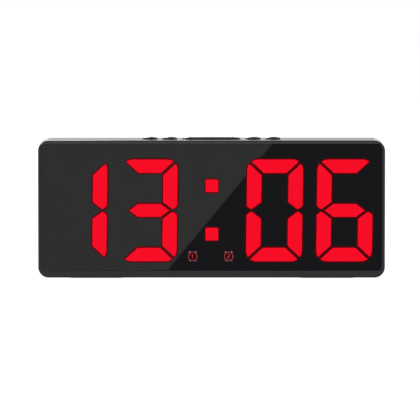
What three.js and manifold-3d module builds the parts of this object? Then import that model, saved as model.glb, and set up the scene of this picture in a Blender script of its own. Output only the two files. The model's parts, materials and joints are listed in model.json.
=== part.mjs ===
// Digital alarm clock: a slim desk clock with a smoked window over seven-segment digits,
// four press buttons and a snooze bar on its top, and a battery bay behind.
// Millimetres, +Z up, front towards -Y, origin on the table under the middle of the clock.
import * as THREE from "three";
import { mergeVertices } from "three/addons/utils/BufferGeometryUtils.js";
import Module from "manifold-3d";

const wasm = await Module();
wasm.setup();

// Case
const caseWidth = 165;
const caseHeight = 65.4;
const caseCorner = 5;
const caseWall = 2;
const frontEdgeRadius = 0.6;
const rearEdgeRadius = 1.2;
const frameSide = 1.5;
const frameTop = 1.6;
const frameBottom = 3.4;
const ledgeWidth = 1.5;
const ledgeThickness = 1.3;
const rearPlate = 2.6;
const coverRimWall = 1.5;
const coverRimDepth = 2.5;
const bossRadius = 3;
const bossInset = 4;
const bossRise = 5.5;
const bossWeb = 4;
const coverBossHeight = 3;
const coverBossRadius = 3.6;

// Clearances
const seatGap = 0.05;
const seamGap = 0.15;
const slideGap = 0.25;
const cellGap = 0.15;
const screwGap = 0.2;
const displayPlay = 0.5;

// Window and display, from the front face backwards
const windowRecess = 0.25;
const windowThickness = 1.8;
const windowPlay = 0.15;
const windowToDisplay = 0.4;
const reflectorThickness = 6;
const boardThickness = 1.6;
const boardToBay = 2.4;

// Digits: bars of a seven-segment figure, leaning slightly to the right
const digitWidth = 26.5;
const digitTopMargin = 7.56;
const digitBottomMargin = 4.3;
const digitSideMargin = 4.58;
const digitGap = 6.88;
const digitCorner = 5.1;
const digitSlant = 0.8;
const displayShift = 0.14;
const uprightWidth = 6.8;
const crossbarHeight = 6.45;
const middleBarHeight = 6.15;
const barGap = 1.5;
const barMitreSlope = 1.08;
const barTipInset = 2.15;
const barTipRise = 0.5;
const barTipCorner = 0.6;
const middleTipInset = 3.75;
const middleSlope = 0.75;
const linkThickness = 0.5;
const linkReach = 2.0;
const linkHeight = 1.5;
const linkOuterInset = 0.8;
const linkOuterReach = 1.4;
const linkInnerInset = 3.2;
const linkInnerReach = 0.4;
const linkOverlap = 0.2;
const ledLength = 2.0;
const ledWidth = 1.2;
const ledHeight = 0.7;
const ledRoom = 1.0;
const ledAcross = 3.6;
const ledAlong = 5;

// Colon and alarm signs
const colonDot = 6.03;
const colonSpacing = 23;
const colonRise = 0.2;
const colonCorner = 0.5;
const colonWebWidth = 3;
const signSpread = 0.5165;
const signShift = -0.55;
const signDrop = 22;
const signWidth = 6.2;
const signHeight = 7;
const signRelief = 0.5;
const signRadius = 2.05;
const signLine = 0.36;
const signBellLength = 1.5;
const signBellThickness = 0.75;
const signFootLength = 1;
const signBellLean = 40;
const signFigureHeight = 2.1;
const signFigureWidth = 1.2;

// Buttons and switches
const buttonLength = 7.4;
const buttonDepth = 5;
const buttonRise = 1.02;
const buttonGap = 2;
const snoozeRise = 0.85;
const snoozeLength = 27.9;
const snoozeGap = 2.3;
const snoozeTaper = 3.4;
const snoozeRibPitch = 1.55;
const snoozeRibWidth = 0.7;
const snoozeRibRise = 0.3;
const snoozeRibMargin = 3.1;
const snoozeRibLength = 2.5;
const domeShares = [0.2, 0.45, 0.8];
const domeSwell = 3;
const flangeLip = 0.7;
const flangeThickness = 1;
const stemLength = 1.2;
const stemRadius = 1.6;
const buttonTravel = 0.5;
const switchSize = 6;
const switchHeight = 3.5;
const switchFromBoard = 0.9;
const plungerRadius = 1.75;
const plungerProud = 1.1;
const plungerSunk = 0.9;
const keyBoardEdge = 4;
const keyBoardFromBoard = 0.5;
const railLip = 2;
const railWall = 1.5;
const stopWidth = 2;
const stopInset = 8;
const connectorLength = 18;
const connectorHeight = 3;
const connectorDepth = 3;

// Power: three AAA cells in series, their contacts and the round inlet
const cellDiameter = 10.5;
const cellLength = 44.5;
const cellNubRadius = 1.9;
const cellNubHeight = 1;
const cellEdge = 0.4;
const cellPlay = 0.5;
const cellSpacing = 0.6;
const bayFloor = 1.5;
const bayWall = 1.5;
const bayRise = 3.5;
const contactThickness = 0.4;
const contactSize = 9;
const contactBump = 0.8;
const contactBumpRadius = 1.6;
const contactTabWidth = 3;
const contactTabReach = 2;
const springWire = 0.6;
const springBase = 3.9;
const springTip = 1.2;
const springPitch = 0.85;
const springTurns = 3;
const springBend = 0.54;
const leadRadius = 0.6;
const socketSize = 8;
const socketLength = 8;
const socketNoseRadius = 3.2;
const socketRecess = 0.4;
const socketBoreRadius = 1.8;
const socketBoreDepth = 8.5;
const socketPinRadius = 0.65;
const socketPinInset = 1;
const socketRibWall = 1.2;
const socketRibReach = 6;
const socketTerminal = 2;
const socketInset = 26.5;
const socketZ = 17;

// Battery door, hung on two tongues along its top edge
const doorThickness = 1.5;
const doorLip = 2;
const doorCorner = 1.5;
const tongueWidth = 6;
const tongueSpacing = 30;
const tongueThickness = 1.1;
const tongueReach = 1.6;
const tongueRoot = 2.5;
const tongueSweep = 3.5;
const latchWidth = 12;
const latchDepth = 2.2;
const latchThickness = 1.2;
const latchGap = 0.3;
const fingerWidth = 14;
const fingerHeight = 2;
const fingerDepth = 1.1;

// Parts on the main board
const buzzerRadius = 6;
const buzzerHeight = 8;
const buzzerPort = 1.2;
const buzzerPortDepth = 3;
const buzzerEdge = 0.6;
const buzzerInset = 30.5;
const buzzerZ = 26;
const soundHoleRadius = 0.8;
const soundHolePitch = 3.2;
const soundRingCount = 6;
const chipLength = 12;
const chipWidth = 8;
const chipHeight = 2;
const chipInset = 30.5;
const chipZ = 38;
const crystalRadius = 1.5;
const crystalLength = 8;
const crystalFromChip = 6;

// Fasteners and feet
const caseScrewRadius = 1.1;
const caseScrewLength = 10;
const caseScrewHead = 2.1;
const caseScrewHeadHeight = 1.6;
const caseScrewSink = 3.2;
const boardScrewRadius = 0.9;
const boardScrewBite = 4;
const boardScrewHead = 1.7;
const boardScrewHeadHeight = 1.2;
const boardScrewDrop = 3.2;
const boardScrewRise = 4;
const boardScrewFromRail = 8.5;
const crossSlotWidth = 0.55;
const crossSlotDepth = 0.7;
const crossSlotShare = 1.3;
const screwTipShare = 0.4;
const screwTaperShare = 1.5;
const screwRimShare = 0.55;
const screwCrownShare = 0.7;
const pilotSpare = 0.4;
const tabWidth = 8;
const tabEnd = 3.5;
const tabThickness = 2;
const footProud = 0.5;
const footSunk = 0.8;
const footLength = 26;
const footDepth = 14;
const footCorner = 2;
const footInset = 27.5;

// Facets on round forms
const arcSteps = 3;
const barArcSteps = 3;
const dotArcSteps = 1;
const planSides = 20;
const roundSides = 20;
const smallSides = 10;
const wireSides = 8;
const springSides = 5;
const springStepsPerTurn = 8;
const signSteps = 6;
const edgeSteps = 2;
const weldDistance = 1e-4;
const through = 1;
const degree = Math.PI / 180;

// Depth of the case is the sum of what it holds
const windowStack = windowRecess + windowThickness + windowToDisplay;
const displayStack = reflectorThickness + seatGap + boardThickness;
const rearStack = bayFloor + cellPlay + cellDiameter + cellPlay + doorThickness;
const caseDepth = windowStack + displayStack + boardToBay + rearStack;

// Planes along Y
const frontY = -caseDepth / 2;
const rearY = caseDepth / 2;
const seamY = rearY - rearPlate;
const windowFrontY = frontY + windowRecess;
const windowBackY = windowFrontY + windowThickness;
const ledgeFrontY = windowBackY + seatGap;
const ledgeBackY = ledgeFrontY + ledgeThickness;
const displayFrontY = windowBackY + windowToDisplay;
const displayBackY = displayFrontY + reflectorThickness;
const fillBackY = displayBackY - ledRoom;
const linkFrontY = fillBackY - linkThickness;
const boardFrontY = displayBackY + seatGap;
const boardBackY = boardFrontY + boardThickness;
const tabFrontY = boardBackY + seatGap;
const tabBackY = tabFrontY + tabThickness;
const bayOuterY = boardBackY + boardToBay;
const bayInnerY = bayOuterY + bayFloor;
const cellAxisY = bayInnerY + cellPlay + cellDiameter / 2;
const doorInnerY = rearY - doorThickness;
const recessY = doorInnerY - seatGap;
const bossEndY = seamY - coverBossHeight - seatGap;
const screwSeatY = rearY - caseScrewSink;

// Levels along Z
const caseBottomZ = footProud;
const caseTopZ = caseBottomZ + caseHeight;
const caseMidZ = (caseBottomZ + caseTopZ) / 2;
const innerBottomZ = caseBottomZ + caseWall;
const innerTopZ = caseTopZ - caseWall;
const windowBottomZ = caseBottomZ + frameBottom;
const windowTopZ = caseTopZ - frameTop;
const windowWidth = caseWidth - 2 * frameSide;
const windowCorner = caseCorner - frameSide;
const displayInset = ledgeWidth + displayPlay;
const displayBottomZ = windowBottomZ + displayInset;
const displayTopZ = windowTopZ - displayInset;
const digitBottomZ = windowBottomZ + digitBottomMargin;
const digitTopZ = windowTopZ - digitTopMargin;
const digitMidZ = (digitBottomZ + digitTopZ) / 2;
const digitHeight = digitTopZ - digitBottomZ;
const flangeTopZ = innerTopZ - slideGap;
const flangeBottomZ = flangeTopZ - flangeThickness;
const stemBottomZ = flangeBottomZ - stemLength;
const plungerTopZ = stemBottomZ - seatGap;
const switchTopZ = plungerTopZ - plungerProud;
const keyBoardTopZ = switchTopZ - switchHeight - seatGap;
const keyBoardBottomZ = keyBoardTopZ - boardThickness;

// Places along X and of the parts behind the board
const outerDigitX = windowWidth / 2 - digitSideMargin - digitWidth / 2;
const innerDigitX = outerDigitX - digitWidth - digitGap;
const centreRoom = 2 * innerDigitX - digitWidth;
const signPitch = centreRoom * signSpread;
const innerButtonX = snoozeLength / 2 + snoozeGap + buttonLength / 2;
const outerButtonX = innerButtonX + buttonLength + buttonGap;
const buttonY = boardBackY + switchFromBoard + switchSize / 2;
const keyBoardHalf = outerButtonX + switchSize / 2 + keyBoardEdge;
const keyBoardFrontY = boardBackY + keyBoardFromBoard;
const keyBoardBackY = buttonY + switchSize / 2 + keyBoardEdge;
const bossX = caseWidth / 2 - caseWall - bossInset;
const bossLevels = [innerBottomZ + bossRise, innerTopZ - bossRise];
const springLength = 2 * (springWire + springBend) + springPitch * springTurns;
const contactRoom = contactThickness + seatGap;
const bayLength = 2 * contactRoom + springLength + cellLength + contactBump + 3 * screwGap;
const chipX = caseWidth / 2 - chipInset;
const crystalX = chipX + chipLength / 2 + crystalFromChip;
const buzzerX = buzzerInset - caseWidth / 2;
const socketX = caseWidth / 2 - socketInset;
const footX = caseWidth / 2 - footInset;
const bayHeight = 3 * cellDiameter + 2 * cellSpacing + 2 * cellPlay;
const bayBottomZ = innerBottomZ + bayRise + bayWall;
const bayTopZ = bayBottomZ + bayHeight;
const cellPitch = cellDiameter + cellSpacing;
const bottomCellZ = bayBottomZ + cellPlay + cellDiameter / 2;
const doorBottomZ = bayBottomZ - doorLip;
const doorTopZ = bayTopZ + doorLip;
const hingeY = rearY - doorThickness / 2;
const hingeZ = doorTopZ - doorThickness / 2;

// Turns a three.js geometry into a solid that can be joined and cut.
function toSolid(geometry) {
  const bare = geometry.clone();
  bare.deleteAttribute("normal");
  bare.deleteAttribute("uv");
  const merged = mergeVertices(bare, weldDistance);
  const index = merged.index.array;
  const kept = [];
  for (let i = 0; i < index.length; i += 3) {
    const [a, b, c] = [index[i], index[i + 1], index[i + 2]];
    if (a !== b && b !== c && c !== a) kept.push(a, b, c);
  }
  const vertProperties = merged.attributes.position.array;
  return new wasm.Manifold(new wasm.Mesh({ numProp: 3, vertProperties, triVerts: new Uint32Array(kept) }));
}

// Turns a solid back into a geometry with flat faces.
function toGeometry(solid) {
  const mesh = solid.getMesh();
  const shared = new THREE.BufferGeometry();
  shared.setAttribute("position", new THREE.BufferAttribute(mesh.vertProperties.slice(), 3));
  shared.setIndex(new THREE.BufferAttribute(mesh.triVerts.slice(), 1));
  const geometry = shared.toNonIndexed();
  geometry.computeVertexNormals();
  return geometry;
}

function joined(solids) {
  return solids.reduce((whole, solid) => whole.add(solid));
}

function cutBy(solid, cutters) {
  return cutters.reduce((left, cutter) => left.subtract(cutter), solid);
}

// A block between two corners.
function block(x0, x1, y0, y1, z0, z1) {
  const geometry = new THREE.BoxGeometry(x1 - x0, y1 - y0, z1 - z0);
  geometry.translate((x0 + x1) / 2, (y0 + y1) / 2, (z0 + z1) / 2);
  return toSolid(geometry);
}

// A shape drawn in X and Z, pushed along Y from y0 to y1.
function prismY(shape, y0, y1, curveSegments = arcSteps) {
  const geometry = new THREE.ExtrudeGeometry(shape, { depth: y1 - y0, bevelEnabled: false, curveSegments });
  geometry.rotateX(Math.PI / 2);
  geometry.translate(0, y1, 0);
  return toSolid(geometry);
}

// A shape drawn in X and Y, raised along Z from z0 to z1.
function prismZ(shape, z0, z1) {
  const settings = { depth: z1 - z0, bevelEnabled: false, curveSegments: arcSteps };
  const geometry = new THREE.ExtrudeGeometry(shape, settings);
  geometry.translate(0, 0, z0);
  return toSolid(geometry);
}

// Like prismY, with both end edges rounded.
function softPrismY(shape, y0, y1, radius) {
  const geometry = new THREE.ExtrudeGeometry(shape, {
    depth: y1 - y0 - 2 * radius,
    bevelThickness: radius,
    bevelSize: radius,
    bevelOffset: -radius,
    bevelSegments: edgeSteps,
    curveSegments: arcSteps,
  });
  geometry.rotateX(Math.PI / 2);
  geometry.translate(0, y1 - radius, 0);
  return toSolid(geometry);
}

// A round bar along Y.
function barY(radius, y0, y1, x, z, sides = smallSides) {
  const geometry = new THREE.CylinderGeometry(radius, radius, y1 - y0, sides);
  geometry.translate(x, (y0 + y1) / 2, z);
  return toSolid(geometry);
}

// A turned form about Y, from a profile of radius and height pairs.
function turned(profile, sides = roundSides) {
  const points = profile.map(([radius, along]) => new THREE.Vector2(radius, along));
  return toSolid(new THREE.LatheGeometry(points, sides));
}

function roundedRectangle(x0, x1, z0, z1, radius) {
  const shape = new THREE.Shape();
  shape.moveTo(x0 + radius, z0);
  shape.lineTo(x1 - radius, z0);
  shape.absarc(x1 - radius, z0 + radius, radius, -Math.PI / 2, 0);
  shape.lineTo(x1, z1 - radius);
  shape.absarc(x1 - radius, z1 - radius, radius, 0, Math.PI / 2);
  shape.lineTo(x0 + radius, z1);
  shape.absarc(x0 + radius, z1 - radius, radius, Math.PI / 2, Math.PI);
  shape.lineTo(x0, z0 + radius);
  shape.absarc(x0 + radius, z0 + radius, radius, Math.PI, 1.5 * Math.PI);
  return shape;
}

// A rounded rectangle about the middle of the case, drawn in by an inset.
function caseOutline(inset) {
  const half = caseWidth / 2 - inset;
  return roundedRectangle(-half, half, caseBottomZ + inset, caseTopZ - inset, caseCorner - inset);
}

// A rounded rectangle about the middle of the window, drawn in by an inset.
function windowOutline(inset) {
  const half = windowWidth / 2 - inset;
  return roundedRectangle(-half, half, windowBottomZ + inset, windowTopZ - inset, windowCorner - inset);
}

// Moves each edge of a convex outline outwards by a distance.
function grown(corners, distance) {
  const lines = corners.map((corner, i) => {
    const next = corners[(i + 1) % corners.length];
    const along = new THREE.Vector2(next.x - corner.x, next.y - corner.y).normalize();
    const start = new THREE.Vector2(corner.x + along.y * distance, corner.y - along.x * distance);
    return { start, along };
  });
  return corners.map(({ radius }, i) => {
    const before = lines[(i + lines.length - 1) % lines.length];
    const after = lines[i];
    const across = after.start.clone().sub(before.start);
    const reach = across.cross(after.along) / before.along.cross(after.along);
    const point = before.start.clone().addScaledVector(before.along, reach);
    return { x: point.x, y: point.y, radius: radius ? radius + distance : 0 };
  });
}

// Draws a convex outline, with an arc at each corner that has a radius.
function filleted(corners) {
  const points = corners.flatMap((corner, i) => {
    const here = new THREE.Vector2(corner.x, corner.y);
    if (!corner.radius) return [here];
    const before = corners[(i + corners.length - 1) % corners.length];
    const after = corners[(i + 1) % corners.length];
    const toBefore = new THREE.Vector2(before.x - corner.x, before.y - corner.y).normalize();
    const toAfter = new THREE.Vector2(after.x - corner.x, after.y - corner.y).normalize();
    const half = Math.acos(toBefore.dot(toAfter)) / 2;
    const inward = toBefore.clone().add(toAfter).normalize();
    const centre = here.clone().addScaledVector(inward, corner.radius / Math.sin(half));
    const sweep = Math.PI - 2 * half;
    const start = Math.atan2(-inward.y, -inward.x) - sweep / 2;
    return Array.from({ length: barArcSteps + 1 }, (_, step) => {
      const angle = start + (sweep * step) / barArcSteps;
      return new THREE.Vector2(Math.cos(angle), Math.sin(angle)).multiplyScalar(corner.radius).add(centre);
    });
  });
  return new THREE.Shape(points);
}

// Points of the round outer corner of a digit; its side is at angle 0 and its top at a quarter turn.
function outerArc(from, to) {
  const centreX = digitWidth / 2 - digitCorner;
  const centreZ = digitHeight / 2 - digitCorner;
  return Array.from({ length: barArcSteps + 1 }, (_, step) => {
    const angle = from + ((to - from) * step) / barArcSteps;
    return [centreX + digitCorner * Math.cos(angle), centreZ + digitCorner * Math.sin(angle)];
  });
}

// Angle at which a mitre through the inner corner, shifted sideways, comes out at the outer corner.
function mitreAngle(shift) {
  const fromCentreX = digitCorner - uprightWidth;
  const fromCentreZ = digitCorner - crossbarHeight;
  const across = fromCentreX + shift - barMitreSlope * fromCentreZ;
  return Math.acos(across / (digitCorner * Math.hypot(1, barMitreSlope))) - Math.atan(barMitreSlope);
}

// Corners of one bar of a digit, about the digit's middle, some with a corner radius.
function barCorners(bar) {
  const halfWidth = digitWidth / 2;
  const halfHeight = digitHeight / 2;
  const mitreRun = (barGap / 2) * Math.hypot(1, barMitreSlope);
  const mitreRise = mitreRun / barMitreSlope;
  const innerX = halfWidth - uprightWidth;
  const innerZ = halfHeight - crossbarHeight;
  const crossbarTip = outerArc(mitreAngle(-mitreRun), Math.PI / 2);
  const crossbar = [
    [-innerX + mitreRun, innerZ],
    [innerX - mitreRun, innerZ],
    ...crossbarTip,
    ...crossbarTip.map(([x, z]) => [-x, z]).reverse(),
  ];
  const upright = [
    [innerX, barTipRise + (uprightWidth - barTipInset) * middleSlope],
    [halfWidth - barTipInset, barTipRise, barTipCorner],
    [halfWidth, barTipRise + barTipInset * middleSlope, barTipCorner],
    ...outerArc(0, mitreAngle(mitreRun)),
    [innerX, innerZ - mitreRise],
  ];
  const tip = halfWidth - middleTipInset;
  const flat = tip - middleBarHeight / 2 / middleSlope;
  const middle = [
    [-flat, -middleBarHeight / 2],
    [flat, -middleBarHeight / 2],
    [tip, 0],
    [flat, middleBarHeight / 2],
    [-flat, middleBarHeight / 2],
    [-tip, 0],
  ];
  const source = { a: crossbar, d: crossbar, g: middle }[bar] ?? upright;
  const flipX = "ef".includes(bar) ? -1 : 1;
  const flipZ = "cde".includes(bar) ? -1 : 1;
  const corners = source.map(([x, z, radius]) => leaned(x * flipX, z * flipZ, radius));
  return flipX * flipZ < 0 ? corners.reverse() : corners;
}

// A point of the display, leaning with the digits.
function leaned(x, z, radius = 0) {
  return { x: x + z * Math.tan(digitSlant * degree), y: z, radius };
}

function moved(corners, x, z) {
  return corners.map((corner) => ({ x: corner.x + x, y: corner.y + z, radius: corner.radius }));
}

// Thin links behind the bars of one digit, which make one moulding of the bars that are alike.
function linkBoxes() {
  const halfWidth = digitWidth / 2;
  const cornerX = halfWidth - uprightWidth / 2;
  const cornerZ = digitHeight / 2 - crossbarHeight / 2;
  const tipX = halfWidth - barTipInset;
  const outerEnd = tipX + linkOuterReach;
  const outerStart = tipX - linkOuterInset;
  const innerStart = tipX - linkInnerInset;
  const innerEnd = tipX + linkInnerReach;
  const corner = (bars, sx, sz) => {
    const x = cornerX * sx + cornerZ * sz * Math.tan(digitSlant * degree);
    const z = cornerZ * sz;
    return { bars, x0: x - linkReach, x1: x + linkReach, z0: z - linkReach, z1: z + linkReach };
  };
  const side = (bars, sx, from, to, z0, z1) => {
    return { bars, x0: Math.min(from * sx, to * sx), x1: Math.max(from * sx, to * sx), z0, z1 };
  };
  return [
    corner("ab", 1, 1),
    corner("af", -1, 1),
    corner("cd", 1, -1),
    corner("de", -1, -1),
    side("bc", 1, outerStart, outerEnd, -linkHeight, linkHeight),
    side("ef", -1, outerStart, outerEnd, -linkHeight, linkHeight),
    side("bg", 1, innerStart, innerEnd, -linkOverlap, linkHeight),
    side("cg", 1, innerStart, innerEnd, -linkHeight, linkOverlap),
    side("fg", -1, innerStart, innerEnd, -linkOverlap, linkHeight),
    side("eg", -1, innerStart, innerEnd, -linkHeight, linkOverlap),
  ];
}

const allBars = [..."abcdefg"];
const litBars = { 0: "abcdef", 1: "bc", 3: "abcdg", 6: "acdefg" };
const digits = [
  { name: "hours_tens", figure: "1", x: -outerDigitX + displayShift },
  { name: "hours_units", figure: "3", x: -innerDigitX + displayShift },
  { name: "minutes_tens", figure: "0", x: innerDigitX + displayShift },
  { name: "minutes_units", figure: "6", x: outerDigitX + displayShift },
];

// Places of the colon dots and of the two alarm signs on the face of the display.
const colonDots = [colonSpacing / 2, -colonSpacing / 2].map((z) => ({ x: 0, y: z + colonRise }));
const signs = [-signPitch / 2, signPitch / 2].map((x) => ({ x: x + signShift, y: -signDrop }));

function squareAt(place, width, height, corner, grow) {
  const x = place.x + displayShift;
  const z = place.y + digitMidZ;
  const halfWidth = width / 2 + grow;
  const halfHeight = height / 2 + grow;
  return roundedRectangle(x - halfWidth, x + halfWidth, z - halfHeight, z + halfHeight, corner + grow);
}

// The web that joins the colon dots and signs, as blocks grown by a clearance.
function centreWeb(grow, y0, y1) {
  const half = colonWebWidth / 2 + grow;
  const bottomZ = digitMidZ - signDrop;
  const topZ = digitMidZ + colonRise + colonSpacing / 2;
  const [left, right] = signs.map((sign) => sign.x + displayShift);
  return joined([
    block(displayShift - half, displayShift + half, y0, y1, bottomZ - half, topZ + half),
    block(left, right, y0, y1, bottomZ - half, bottomZ + half),
  ]);
}

function finish(colour, roughness, metalness = 0) {
  return new THREE.MeshStandardMaterial({ color: colour, roughness, metalness });
}

const clock = new THREE.Group();

function addPart(group, name, solid, material, place = [0, 0, 0]) {
  const mesh = new THREE.Mesh(toGeometry(solid), material);
  mesh.name = name;
  mesh.position.set(...place);
  group.add(mesh);
  return mesh;
}

// Places of the screws, as pairs of X and Z. The lower board screws sit between the digits,
// the upper ones beside the rails of the button board.
const caseScrews = bossLevels.flatMap((z) => [[-bossX, z], [bossX, z]]);
const boardScrews = [
  [(outerDigitX + innerDigitX) / 2, displayBottomZ + boardScrewRise],
  [keyBoardHalf + slideGap + railWall + boardScrewFromRail, displayTopZ - boardScrewDrop],
].flatMap(([x, z]) => [[displayShift - x, z], [displayShift + x, z]]);

const buttons = [
  { name: "set", x: -outerButtonX },
  { name: "up", x: -innerButtonX },
  { name: "snooze", x: 0 },
  { name: "down", x: innerButtonX },
  { name: "alarm", x: outerButtonX },
];

// Points of a button's plan, grown by a distance, or drawn in towards its middle line by a share.
function planPoints(button, grow, share) {
  const long = button.name === "snooze";
  const straight = long ? snoozeLength / 2 - snoozeTaper : 0;
  const endLength = (long ? snoozeTaper : buttonLength / 2) * (1 - share) + grow;
  const halfDepth = (buttonDepth / 2) * (1 - share) + grow;
  const points = [];
  const half = planSides / 2;
  for (let i = 0; i < planSides; i += 1) {
    const angle = ((i - half / 2) / half) * Math.PI;
    const side = i < half ? 1 : -1;
    points.push([side * straight + endLength * Math.cos(angle), halfDepth * Math.sin(angle)]);
    if (long && (i + 1) % half === 0) {
      const turn = side * Math.PI * 0.5;
      points.push([side * straight, halfDepth * Math.sin(turn)]);
    }
  }
  return points;
}

// A button's plan as a shape, grown by a distance.
function buttonPlan(button, grow) {
  return new THREE.Shape(planPoints(button, grow, 0).map(([x, y]) => new THREE.Vector2(x, y)));
}

// Front case: a shell open behind, with the window's rebate in front and the button holes above.
function frontCase() {
  const outer = softPrismY(caseOutline(0), frontY, rearY, frontEdgeRadius);
  const shell = cutBy(outer, [
    block(-caseWidth, caseWidth, seamY, rearY + through, -through, caseTopZ + through),
    prismY(caseOutline(caseWall), ledgeBackY, seamY + through),
    prismY(windowOutline(0), frontY - through, ledgeFrontY),
    prismY(windowOutline(ledgeWidth), frontY - through, ledgeBackY + through),
  ]);
  const sunk = caseWall / 2;
  const bosses = caseScrews.map(([x, z]) => {
    const side = Math.sign(x);
    const wallX = side * (caseWidth / 2 - sunk);
    const [x0, x1] = [Math.min(x, wallX), Math.max(x, wallX)];
    const web = block(x0, x1, tabFrontY + seamGap, bossEndY, z - bossWeb / 2, z + bossWeb / 2);
    return web.add(barY(bossRadius, tabFrontY + seamGap, bossEndY, x, z));
  });
  const tabs = boardScrews.map(([x, z]) => {
    const z0 = z < caseMidZ ? innerBottomZ - sunk : z - tabEnd;
    const z1 = z < caseMidZ ? z + tabEnd : innerTopZ + sunk;
    return block(x - tabWidth / 2, x + tabWidth / 2, tabFrontY, tabBackY, z0, z1);
  });
  const railBottomZ = keyBoardBottomZ - slideGap - railWall;
  const rails = [-1, 1].map((side) => {
    const from = side * (keyBoardHalf - railLip);
    const to = side * (keyBoardHalf + slideGap + railWall);
    const slotTo = side * (keyBoardHalf + slideGap);
    const [x0, x1] = [Math.min(from, to), Math.max(from, to)];
    const [s0, s1] = [Math.min(from - side * through, slotTo), Math.max(from - side * through, slotTo)];
    const bracket = block(x0, x1, keyBoardFrontY, keyBoardBackY, railBottomZ, innerTopZ + sunk);
    const slotBottomZ = keyBoardBottomZ - slideGap;
    const slotTopZ = keyBoardTopZ + slideGap;
    return bracket.subtract(block(s0, s1, frontY, rearY, slotBottomZ, slotTopZ));
  });
  const whole = joined([shell, ...bosses, ...tabs, ...rails]);
  const buttonHoles = buttons.map((button) => {
    const hole = prismZ(buttonPlan(button, slideGap), flangeTopZ, caseTopZ + through);
    return hole.translate([button.x, buttonY, 0]);
  });
  const bossHoles = caseScrews.map(([x, z]) => {
    const endY = screwSeatY - caseScrewLength - pilotSpare;
    return barY(caseScrewRadius + screwGap, endY, bossEndY + through, x, z);
  });
  const tabHoles = boardScrews.map(([x, z]) => {
    return barY(boardScrewRadius + screwGap, tabFrontY - through, tabBackY + through, x, z);
  });
  const footSeats = [-footX, footX].map((x) => {
    const seat = prismZ(footPlan(slideGap), caseBottomZ - through, caseBottomZ + footSunk + seatGap);
    return seat.translate([x, footY, 0]);
  });
  return cutBy(whole, [...buttonHoles, ...bossHoles, ...tabHoles, ...footSeats]);
}

const footY = (frontY + seamY) / 2;

function footPlan(grow) {
  const [halfLength, halfDepth] = [footLength / 2 + grow, footDepth / 2 + grow];
  return roundedRectangle(-halfLength, halfLength, -halfDepth, halfDepth, footCorner + grow);
}

// Rear cover: a plate with a rim, the battery bay and the seats of the door, screws and inlet.
function rearCover() {
  const plate = softPrismY(caseOutline(0), frontY, rearY, rearEdgeRadius).subtract(
    block(-caseWidth, caseWidth, frontY - through, seamY + seamGap, -through, caseTopZ + through),
  );
  const rimFrontY = seamY - coverRimDepth;
  const plateY = seamY + rearPlate / 2;
  const rim = prismY(caseOutline(caseWall + slideGap), rimFrontY, plateY).subtract(
    prismY(caseOutline(caseWall + slideGap + coverRimWall), rimFrontY - through, plateY + through),
  );
  const bayHalf = bayLength / 2 + bayWall;
  const bay = block(-bayHalf, bayHalf, bayOuterY, plateY, bayBottomZ - bayWall, bayTopZ + bayWall);
  const bosses = caseScrews.map(([x, z]) => barY(coverBossRadius, seamY - coverBossHeight, plateY, x, z));
  const stopZ0 = keyBoardBottomZ - stopWidth;
  const stopZ1 = keyBoardTopZ + stopWidth;
  const stops = [-1, 1].map((side) => {
    const x = side * (keyBoardHalf - stopInset);
    return block(x - stopWidth / 2, x + stopWidth / 2, keyBoardBackY + seatGap, plateY, stopZ0, stopZ1);
  });
  const ribHalf = socketSize / 2;
  const socketRibs = [-1, 1].map((side) => {
    const near = socketX + side * (ribHalf + slideGap);
    const far = near + side * socketRibWall;
    const [x0, x1] = [Math.min(near, far), Math.max(near, far)];
    return block(x0, x1, seamY - socketRibReach, plateY, socketZ - ribHalf, socketZ + ribHalf);
  });
  const whole = joined([plate, rim, bay, ...bosses, ...stops, ...socketRibs]);
  const bayInside = block(-bayLength / 2, bayLength / 2, bayInnerY, rearY + through, bayBottomZ, bayTopZ);
  const tongueSeats = [-1, 1].map((side) => {
    const x = (side * tongueSpacing) / 2;
    const half = tongueWidth / 2 + slideGap;
    const topZ = doorTopZ + tongueReach + slideGap;
    const bottomZ = hingeZ - tongueSweep;
    return block(x - half, x + half, hingeY - tongueSweep, recessY, bottomZ, topZ);
  });
  const fingerTopZ = doorBottomZ + slideGap;
  const fingerSeat = block(
    -fingerWidth / 2, fingerWidth / 2, rearY - fingerDepth, rearY + through,
    doorBottomZ - slideGap - fingerHeight, fingerTopZ,
  );
  const tabSlots = contacts.filter((contact) => contact.tab).map((contact) => {
    const inside = contact.side * (bayLength / 2 - contactThickness);
    const outside = contact.side * (bayHalf + through);
    const [x0, x1] = [Math.min(inside, outside), Math.max(inside, outside)];
    const halfY = contactThickness / 2 + screwGap;
    const halfZ = contactTabWidth / 2 + screwGap;
    return block(x0, x1, cellAxisY - halfY, cellAxisY + halfY, contact.tabZ - halfZ, contact.tabZ + halfZ);
  });
  const screwHoles = caseScrews.map(([x, z]) => {
    const shank = barY(caseScrewRadius + screwGap, frontY, rearY + through, x, z);
    return shank.add(barY(caseScrewHead + screwGap, screwSeatY, rearY + through, x, z));
  });
  const socketHoleRadius = socketNoseRadius + slideGap;
  const socketHole = barY(socketHoleRadius, seamY - through, rearY + through, socketX, socketZ, roundSides);
  const soundHoles = soundPlaces().map(([x, z]) => {
    return barY(soundHoleRadius, seamY - through, rearY + through, x, z, wireSides);
  });
  return cutBy(whole, [
    bayInside,
    prismY(doorOutline(slideGap, doorTopZ + slideGap), recessY, rearY + through),
    fingerSeat,
    socketHole,
    ...tongueSeats,
    ...tabSlots,
    ...screwHoles,
    ...soundHoles,
  ]);
}

// One sound hole over the buzzer and a ring of them round it.
function soundPlaces() {
  const ring = Array.from({ length: soundRingCount }, (_, i) => {
    const angle = (2 * Math.PI * i) / soundRingCount;
    return [buzzerX + soundHolePitch * Math.cos(angle), buzzerZ + soundHolePitch * Math.sin(angle)];
  });
  return [[buzzerX, buzzerZ], ...ring];
}

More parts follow.
